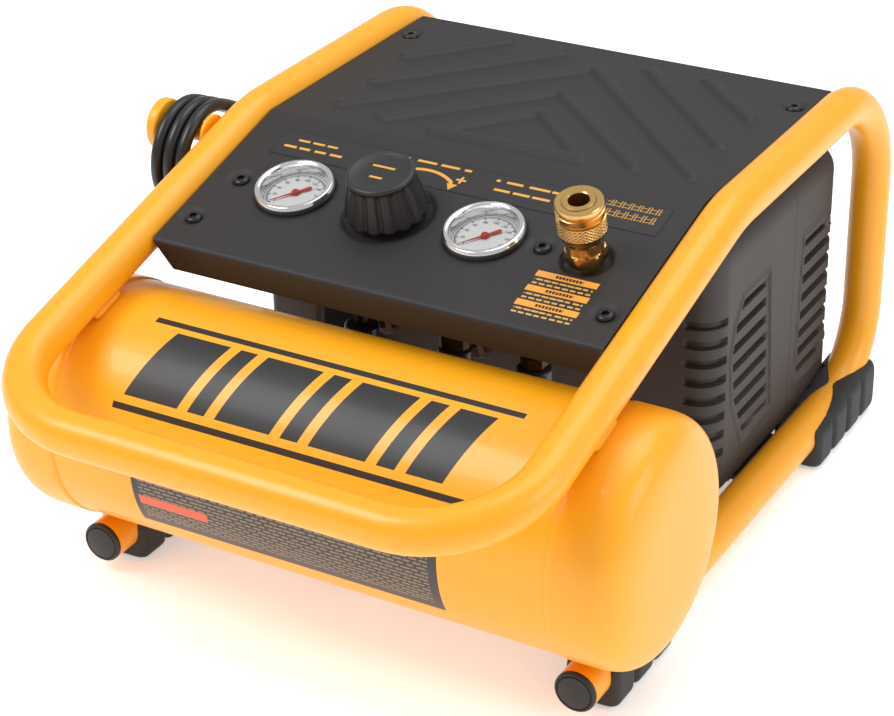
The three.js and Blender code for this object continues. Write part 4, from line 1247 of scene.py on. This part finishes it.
@dataclass
class Cowl:
    """The two moulded halves of the motor cowl, with louvred side panels.

    Attributes:
        x0: Left face.
        x1: Right face.
        y0: Front face.
        y1: Rear face.
        split: Where the halves meet.
        z0: Lower edge.
        z1: Roof.
        corner: Radius of the upright corners.
        roof: Radius of the roof's edges.
        wall: Wall thickness.
    """

    x0: float = -88.0
    x1: float = 129.0
    y0: float = 152.0
    y1: float = 322.0
    split: float = 256.0
    z0: float = 24.0
    z1: float = 170.0
    corner: float = 16.0
    roof: float = 15.0
    wall: float = 2.4
    panels: tuple = (
        ((221.6, 131.5), (187.3, 132.5), (176.0, 118.0), (171.0, 99.8), (175.0, 70.0), (190.4, 39.7),
         (231.0, 42.5)),
        ((268.5, 131.8), (303.5, 130.5), (315.0, 116.0), (320.0, 98.0), (316.0, 68.0), (304.0, 40.0),
         (264.0, 40.5)),
    )
    slots: int = 8
    pitch: float = 11.2
    first: float = 44.5
    height: float = 4.6

    def plan(self, front: bool) -> tuple[np.ndarray, np.ndarray, np.ndarray]:
        """The outline in plan from the right-hand seam round to the left-hand seam.

        Args:
            front: Whether it is the front half.

        Returns:
            Points, outward normals and the distance along, in the last case from the right-hand seam.
        """
        sign = -1.0 if front else 1.0
        seam = self.split - 0.3 if front else self.split + 0.0
        far = self.y0 if front else self.y1
        r = self.corner
        line = rounded_path([(self.x1, seam, 0), (self.x1, far, 0), (self.x0, far, 0), (self.x0, seam, 0)],
                            (r, r), 24)
        along = np.concatenate([[0], np.cumsum(np.linalg.norm(np.diff(line, axis=0), axis=1))])
        fine = min(abs(far - seam) + 36.0, along[-1])
        q = np.unique(np.concatenate([np.arange(0, fine, 0.9), np.linspace(fine, along[-1], 70)]))
        points = np.stack([np.interp(q, along, line[:, i]) for i in range(2)], -1)
        t = tangents(np.c_[points, np.zeros(len(q))])[:, :2]
        normal = np.stack([-t[:, 1], t[:, 0]], -1) * -sign
        return points, normal, q

    def rows(self) -> tuple[np.ndarray, np.ndarray]:
        """Heights of the grid's rows and how far each is drawn in towards the roof."""
        edges = self.first + self.pitch * np.arange(self.slots)
        tight = np.concatenate([edges + k for k in (-0.35, 0.35, self.height - 0.35, self.height + 0.35)])
        wall = np.unique(np.round(np.concatenate([np.arange(self.z0, self.z1 - self.roof, 2.2), tight]), 3))
        turn = np.linspace(0, np.pi / 2, 9)
        z = np.concatenate([wall, self.z1 - self.roof + self.roof * np.sin(turn)])
        draw = np.concatenate([np.zeros(len(wall)), self.roof * (1 - np.cos(turn))])
        return z, draw

    def outline_distance(self, y: np.ndarray, z: np.ndarray,
                         corners: Sequence[Sequence[float]]) -> np.ndarray:
        """Distance to a polygon's edge, negative inside it."""
        near = np.full(y.shape, 1e3)
        inside = np.zeros(y.shape, bool)
        loop = list(corners) + [corners[0]]
        for (ay, az), (by, bz) in zip(loop[:-1], loop[1:]):
            dy, dz = by - ay, bz - az
            t = np.clip(((y - ay) * dy + (z - az) * dz) / (dy * dy + dz * dz), 0, 1)
            near = np.minimum(near, np.hypot(y - ay - t * dy, z - az - t * dz))
            crossing = ((az > z) != (bz > z)) & (y < dy * (z - az) / (dz if dz else 1e-9) + ay)
            inside ^= crossing
        return np.where(inside, -near, near)

    def relief(self, y: np.ndarray, z: np.ndarray, q: np.ndarray, right: np.ndarray,
               front: bool) -> np.ndarray:
        """How far the skin stands out: a thin frame round the panel, a shallow field in it and deep slots.

        Args:
            y: Rearward place of each point.
            z: Height of each point.
            q: Distance from the right-hand seam.
            right: Whether the point is on the right-hand side.
            front: Whether it is the front half.

        Returns:
            The height over the plain skin, in millimetres.
        """
        away = self.outline_distance(y, z, self.panels[0 if front else 1])
        frame = 0.8 * (1 - smooth(0.7, 1.6, np.abs(away)))
        field_ = -0.5 * smooth(0.6, 2.0, -away)
        step = (z - self.first) / self.pitch
        cell = (step - np.floor(step)) * self.pitch
        rows = (step > -0.01) & (step < self.slots)
        slot = np.where(rows,
                        smooth(-0.01, 0.5, cell) * (1 - smooth(self.height - 0.4, self.height + 0.2, cell)),
                        0.0)
        lift = np.where(right, frame + field_ - 4.2 * slot * smooth(4.6, 6.2, -away), 0.0)
        straight = abs((self.y0 if front else self.y1) - self.split) - self.corner
        wrap = smooth(straight + 1.0, straight + 2.4, q) * (1 - smooth(straight + 26.0, straight + 27.6, q))
        high = (z > 40) & (z < 136)
        return lift - np.where(high, 3.6 * slot * wrap, 0.0)

    def half(self, front: bool, palette: Palette) -> None:
        """Builds one half as a closed skin with its inner face."""
        plan, normal, q = self.plan(front)
        z, draw = self.rows()
        base = plan[None] - normal[None] * draw[:, None, None]
        height = np.repeat(z[:, None], len(q), 1)
        right = (q[None] < abs((self.y0 if front else self.y1) - self.split) - self.corner + 4) & (height > 0)
        lift = self.relief(base[..., 1], height, np.broadcast_to(q, height.shape), right, front)
        lift = np.where(draw[:, None] > 0.5, 0.0, lift)
        outer = np.concatenate([base + normal[None] * lift[..., None], height[..., None]], -1)
        shrink = self.wall * np.cos(np.arcsin(np.clip(draw / self.roof, 0, 1)))[:, None, None]
        inner = outer.copy()
        inner[..., :2] -= normal[None] * shrink
        inner[..., 2] -= (self.wall * np.clip(draw / self.roof, 0, 1))[:, None]
        middle = np.array([(self.x0 + self.x1) / 2, self.split - 0.3 if front else self.split])
        roof_out, roof_in = [outer], [inner]
        for share in (0.35, 0.7, 0.985):
            ring = outer[-1:].copy()
            ring[..., :2] += (middle - ring[..., :2]) * share
            under = ring.copy()
            under[..., 2] -= self.wall
            roof_out.append(ring)
            roof_in.append(under)
        shell = Shell().slab(np.concatenate(roof_out), np.concatenate(roof_in))
        name = "front" if front else "rear"
        shell.build(f"cowl_moulding_{name}", palette.get(COWL), Slot.COWL, stands_for=(f"cowl_{name}",),
                    sharp=32)

    def build(self, palette: Palette) -> None:
        """Builds both halves."""
        self.half(True, palette)
        self.half(False, palette)


@dataclass
class CordSet:
    """The wrap post, the coiled mains cord, its strain relief and its plug.

    Attributes:
        diameter: Of the jacket.
        bend: Radius of the hank's ends.
        front: y and z of the middle of the front end, which hangs on the post.
        rear: y and z of the middle of the rear end.
        columns: x of the three turns.
        exit: Tip of the strain relief.
        plug: Where the cord enters the plug.
    """

    diameter: float = 7.2
    bend: float = 29.0
    front: tuple[float, float] = (118.0, 179.0)
    rear: tuple[float, float] = (250.0, 112.0)
    columns: tuple[float, float, float] = (-176.3, -168.4, -160.5)
    exit: tuple[float, float, float] = (-147.3, 158.0, 104.0)
    plug: tuple[float, float, float] = (-176.0, 238.0, 12.6)

    def turn(self) -> np.ndarray:
        """One turn of the hank in (y, z), from under the front end round it, over, back and along below.

        Two half circles of the bend's radius about the front and rear middles, joined by straight runs.
        """
        front, rear = np.array(self.front), np.array(self.rear)
        lean = math.degrees(math.atan2(rear[1] - front[1], rear[0] - front[0]))
        fore = arc(front, self.bend, lean + 270, lean + 90, 13)
        aft = arc(rear, self.bend, lean + 90, lean - 90, 13)
        share = np.linspace(0, 1, 12)[1:-1, None]
        over = fore[-1] + (aft[0] - fore[-1]) * share
        below = aft[-1] + (fore[0] - aft[-1]) * share
        return np.concatenate([fore, over, aft, below])

    def hank(self) -> np.ndarray:
        """Three turns over the post, a column apart: the step to the next column lies in the run below.

        In each turn the loop's depth also changes a little, by up to 1.6 mm, as the cord lies loosely.
        """
        turn = self.turn()
        count = len(turn)
        laps = []
        for lap, start in enumerate(self.columns):
            stop = self.columns[min(lap + 1, 2)]
            place = np.arange(count) / count
            x = start + (stop - start) * smooth(0.74, 0.94, place)
            sag = 1.6 * (lap - 1) * np.sin(np.pi * np.clip(place / 0.72, 0, 1)) ** 2
            laps.append(np.stack([x, turn[:, 0] + 0.4 * sag, turn[:, 1]], -1))
        whole = np.concatenate(laps)
        last = 2 * count + 13 + 10 + 5
        return whole[:last]

    def route(self) -> np.ndarray:
        """The cord's centreline from the strain relief to the plug."""
        hank = self.hank()
        x0 = hank[0][0]
        lean = math.atan2(self.rear[1] - self.front[1], self.rear[0] - self.front[0])
        back = np.array([0.0, math.cos(lean), math.sin(lean)])
        lead = rounded_path([self.exit, (x0, 158.0, 104.0), tuple(hank[0] + back * 23.7), tuple(hank[0])],
                            (28.9, 32.0), 16)
        end = hank[-1]
        tail = rounded_path([end, (end[0] - 2.0, end[1] + 2.0, 84.0), (-176.0, 286.6, 50.0),
                             (-176.0, 286.6, 12.6),
                             self.plug], (60.0, 30.0, 30.0), 20)
        return np.concatenate([self.even(lead, 7.0)[:-1], hank, self.even(tail, 9.0)[1:]])

    @staticmethod
    def even(line: np.ndarray, gap: float) -> np.ndarray:
        """The same line with its stations spread evenly, about gap apart."""
        along = np.concatenate([[0], np.cumsum(np.linalg.norm(np.diff(line, axis=0), axis=1))])
        q = np.linspace(0, along[-1], max(3, int(round(along[-1] / gap)) + 1))
        return np.stack([np.interp(q, along, line[:, i]) for i in range(3)], -1)

    def flex(self, palette: Palette, pieces: list[bpy.types.Object]) -> None:
        """The jacket as one curve.

        Args:
            palette: The finishes.
            pieces: What is on the cord: its sleeve, its plug and the plug's pins; not used.
        """
        route = to_world(self.route())
        curve = bpy.data.curves.new("mains_cord", "CURVE")
        curve.dimensions = "3D"
        curve.bevel_depth = self.diameter * 0.0005
        curve.bevel_resolution = 6
        curve.resolution_u = 5
        curve.use_fill_caps = True
        spline = curve.splines.new("BEZIER")
        spline.bezier_points.add(len(route) - 1)
        spline.bezier_points.foreach_set("co", route.ravel())
        for point in spline.bezier_points:
            point.handle_left_type = point.handle_right_type = "AUTO"
        curve.materials.append(palette.get(JACKET))
        cord = bpy.data.objects.new("mains_cord", curve)
        bpy.context.scene.collection.objects.link(cord)
        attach(cord, Body.MAIN.value)
        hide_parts("power_cord_lead", "power_cord_coil", "power_cord_tail")

    def relief(self, palette: Palette) -> bpy.types.Object:
        """A flange on the switch and a tapered, ribbed sleeve round the cord."""
        h = np.array([0.0, 0.2, 2.8, 3.2, 3.6])
        r = np.array([6.6, 7.0, 7.0, 6.4, 5.6])
        way = np.linspace(4.0, 20.2, 70)
        taper = 5.7 - 1.6 * (way - 4.0) / 16.2
        ribs = 0.45 * smooth(0.15, 0.6, np.cos(way * 2.0))
        profile = np.stack([np.concatenate([r, taper - ribs, [3.7]]), np.concatenate([h, way, [20.3]])], -1)
        x, y, z = self.exit
        return Shell().rings(along_x(turned(profile, 48), x + 20.2, y, z, -1.0)).build(
            "cord_strain_sleeve", palette.get(RUBBER), Slot.RUBBER, stands_for=("strain_relief",), sharp=45)

    def plug_body(self, palette: Palette) -> list[bpy.types.Object]:
        """A moulded plug, a ribbed neck, a waisted grip and a flat face, and its three pins."""
        h = np.array([-8.0, 0, 3, 6, 9, 12, 16, 20, 24, 30, 36, 38.6, 39.2])
        r = np.array([4.3, 5.0, 5.3, 5.6, 6.4, 8.2, 10.6, 11.6, 11.2, 10.9, 11.7, 11.7, 11.0])
        way = np.linspace(-8, 39.2, 120)
        body = np.interp(way, h, r) - 0.4 * ((way > -5) & (way < 7)) * smooth(0.2, 0.7, np.cos(way * 2.1))
        rings = turned(np.stack([body, way], -1), 64)
        place = dict(origin=self.plug, x=(-1, 0, 0), y=(0, 0, 1), z=(0, -1, 0))
        obj = Shell().rings(placed(rings, **place)).build("mains_plug_body", palette.get(PLASTIC),
                                                          Slot.PLASTIC,
                                                          stands_for=("power_plug",), sharp=50)
        pins = Shell()
        for x in (-6.35, 6.35):
            flat = np.array([(x - 0.75, -3.2), (x + 0.75, -3.2), (x + 0.75, 3.2), (x - 0.75, 3.2)])
            rows = [np.c_[flat, np.full(4, a)] for a in (38.0, 53.5)]
            rows.append(np.c_[(flat - (x, 0)) * (0.5, 0.8) + (x, 0), np.full(4, 55.0)])
            pins.rings(placed(np.stack(rows), **place))
        pin = turned([(2.4, 38.0), (2.4, 55.0), (1.9, 56.6), (0.8, 57.2)], 24) + np.array([0, -7.6, 0])
        pins.rings(placed(pin, **place))
        return [obj, pins.build("mains_plug_pins", palette.get(BRASS), Slot.BRASS, sharp=40)]

    def post(self, palette: Palette) -> None:
        """The wrap post: a collar on the frame, a shaft and a round flange."""
        profile = fillet([(1.0, 152.2), (11.0, 152.2), (11.0, 154.3), (8.0, 155.6), (5.2, 156.2),
                          (5.2, 180.8),
                          (13.6, 181.3), (14.5, 182.4), (14.5, 186.8), (12.6, 188.3), (1.0, 188.3)], 0.9, 4)
        Shell().rings(along_x(turned(profile, 72), 0, 110.0, 197.0, -1.0)).build(
            "cord_wrap_post", palette.get(YELLOW), Slot.YELLOW, stands_for=("cord_post",), sharp=50)

    def build(self, palette: Palette) -> None:
        """Builds the post, the relief, the plug and the cord."""
        self.post(palette)
        sleeve = self.relief(palette)
        self.flex(palette, [sleeve, *self.plug_body(palette)])


@dataclass
class Fittings:
    """Finishes of the CAD nodes that stay as they are: valves, lines, motor and pump.

    Attributes:
        looks: Finish of each node.
    """

    looks: dict = field(default_factory=lambda: {
        BRASS: ("drain_valve", "drain_knob"),
        # Painted shade: the valves, manifold, regulator body and lines under the console take the near-black
        # copies of their metals.
        SHADE_DARK_BRASS: ("check_valve", "relief_valve"),
        SHADE_DARK_CAST: ("air_manifold", "regulator_body"),
        SHADE_DARK_COPPER: ("outlet_pipe", "transfer_tube"),
        SCREW: ("relief_ring",),
        ALLOY: ("cylinder", "cylinder_head", "pump_frame", "piston_rod", "motor_cradle"),
        STEEL: ("motor_stator", "motor_rotor", "crank"),
        POWDER: ("motor_base",),
        RUBBER: ("isolator_1", "isolator_2", "isolator_3", "isolator_4"),
        PLASTIC: ("cooling_fan", "pressure_switch"),
        LEVER: ("switch_lever",),
    })

    def build(self, palette: Palette, nodes: dict) -> None:
        """Gives each node its finish."""
        for finish, names in self.looks.items():
            for name in names:
                for slot in nodes[name].material_slots:
                    slot.material = palette.get(finish)
                LOG.info("%s: finish %s", name, finish.name)


# ---- Studio --------------------------------------------------------------------------------------
@dataclass
class Studio:
    """Camera, floor and soft light.

    Attributes:
        eye: Camera position in the frame.
        azimuth: Direction of the camera, in degrees.
        elevation: How far it looks down, in degrees.
        roll: Turn about the line of sight, in degrees.
        lens: Focal length in millimetres on a 36 mm wide sensor.
    """

    eye: tuple[float, float, float] = (0.573098, -0.993255, 0.710673)
    azimuth: float = 30.27
    elevation: float = 28.22
    roll: float = -1.1
    lens: float = 97.79

    def camera(self) -> None:
        """Places the camera."""
        a, e, r = (math.radians(v) for v in (self.azimuth, self.elevation, self.roll))
        forward = Vector((-math.sin(a) * math.cos(e), math.cos(a) * math.cos(e), -math.sin(e)))
        right = Vector((math.cos(a), math.sin(a), 0.0))
        up = right.cross(forward)
        side = right * math.cos(r) + up * math.sin(r)
        top = up * math.cos(r) - right * math.sin(r)
        data = bpy.data.cameras.new("camera")
        data.lens, data.sensor_width, data.sensor_fit = self.lens, 36.0, "HORIZONTAL"
        data.clip_start, data.clip_end = 0.05, 50.0
        camera = bpy.data.objects.new("camera", data)
        matrix = Matrix((side, top, -forward)).transposed().to_4x4()
        matrix.translation = Vector(self.eye)
        camera.matrix_world = matrix
        bpy.context.scene.collection.objects.link(camera)
        bpy.context.scene.camera = camera

    def floor(self) -> None:
        """A wide pale floor."""
        mesh = bpy.data.meshes.new("studio_floor")
        size = 30.0
        mesh.from_pydata([(-size, -size, -0.0004), (size, -size, -0.0004), (size, size, -0.0004),
                          (-size, size, -0.0004)], [], [(0, 1, 2, 3)])
        floor = bpy.data.objects.new("studio_floor", mesh)
        g = Graph("studio_floor")
        mesh.materials.append(g.shade(Base_Color=(0.92, 0.92, 0.92, 1), Roughness=0.6,
                                      Emission_Color=(1.0, 1.0, 1.0, 1), Emission_Strength=0.42))
        bpy.context.scene.collection.objects.link(floor)

    def light(self, name: str, place: Sequence[float], aim: Sequence[float], size: float, power: float,
              tone: Sequence[float] = (1.0, 1.0, 1.0)) -> None:
        """One square soft light.

        Args:
            name: Its name.
            place: Where it hangs.
            aim: What it points at.
            size: Side in metres.
            power: Power in watts.
            tone: Colour.
        """
        data = bpy.data.lights.new(name, "AREA")
        data.shape, data.size, data.energy, data.color = "SQUARE", size, power, tone
        lamp = bpy.data.objects.new(name, data)
        lamp.location = place
        lamp.rotation_euler = (Vector(aim) - Vector(place)).to_track_quat("-Z", "Y").to_euler()
        bpy.context.scene.collection.objects.link(lamp)

    def sky(self) -> None:
        """An even pale surround."""
        world = bpy.data.worlds.new("studio")
        world.use_nodes = True
        world.node_tree.nodes["Background"].inputs["Color"].default_value = (1.0, 1.0, 1.0, 1.0)
        world.node_tree.nodes["Background"].inputs["Strength"].default_value = 0.58
        bpy.context.scene.world = world

    def build(self) -> None:
        """Builds the studio."""
        bpy.context.scene.view_settings.view_transform = "Standard"
        self.camera()
        self.floor()
        self.sky()
        self.light("key", (-0.9, -0.9, 1.7), (0, 0, 0.1), 0.9, 20.0)
        self.light("top", (0.3, 0.6, 1.9), (0, 0, 0.1), 1.4, 15.0)
        self.light("side", (1.8, 0.2, 0.9), (0, 0, 0.1), 1.0, 9.0)


def main() -> None:
    """Builds the studio and every sub-assembly."""
    logging.basicConfig(level=logging.INFO, format="%(name)s: %(message)s")
    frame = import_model()
    palette = Palette()
    Studio().build()
    CordSet().build(palette)
    RollFrame().build(palette)
    Feet().build(palette)
    Tank().build(palette)
    Console().build(palette)
    Gauge("tank_gauge", Body.TANK_NEEDLE, -77.5).build(palette)
    Gauge("outlet_gauge", Body.OUTLET_NEEDLE, 34.7).build(palette)
    Controls().build(palette)
    Cowl().build(palette)
    Fittings().build(palette, frame["nodes"])


if __name__ == "__main__":
    main()
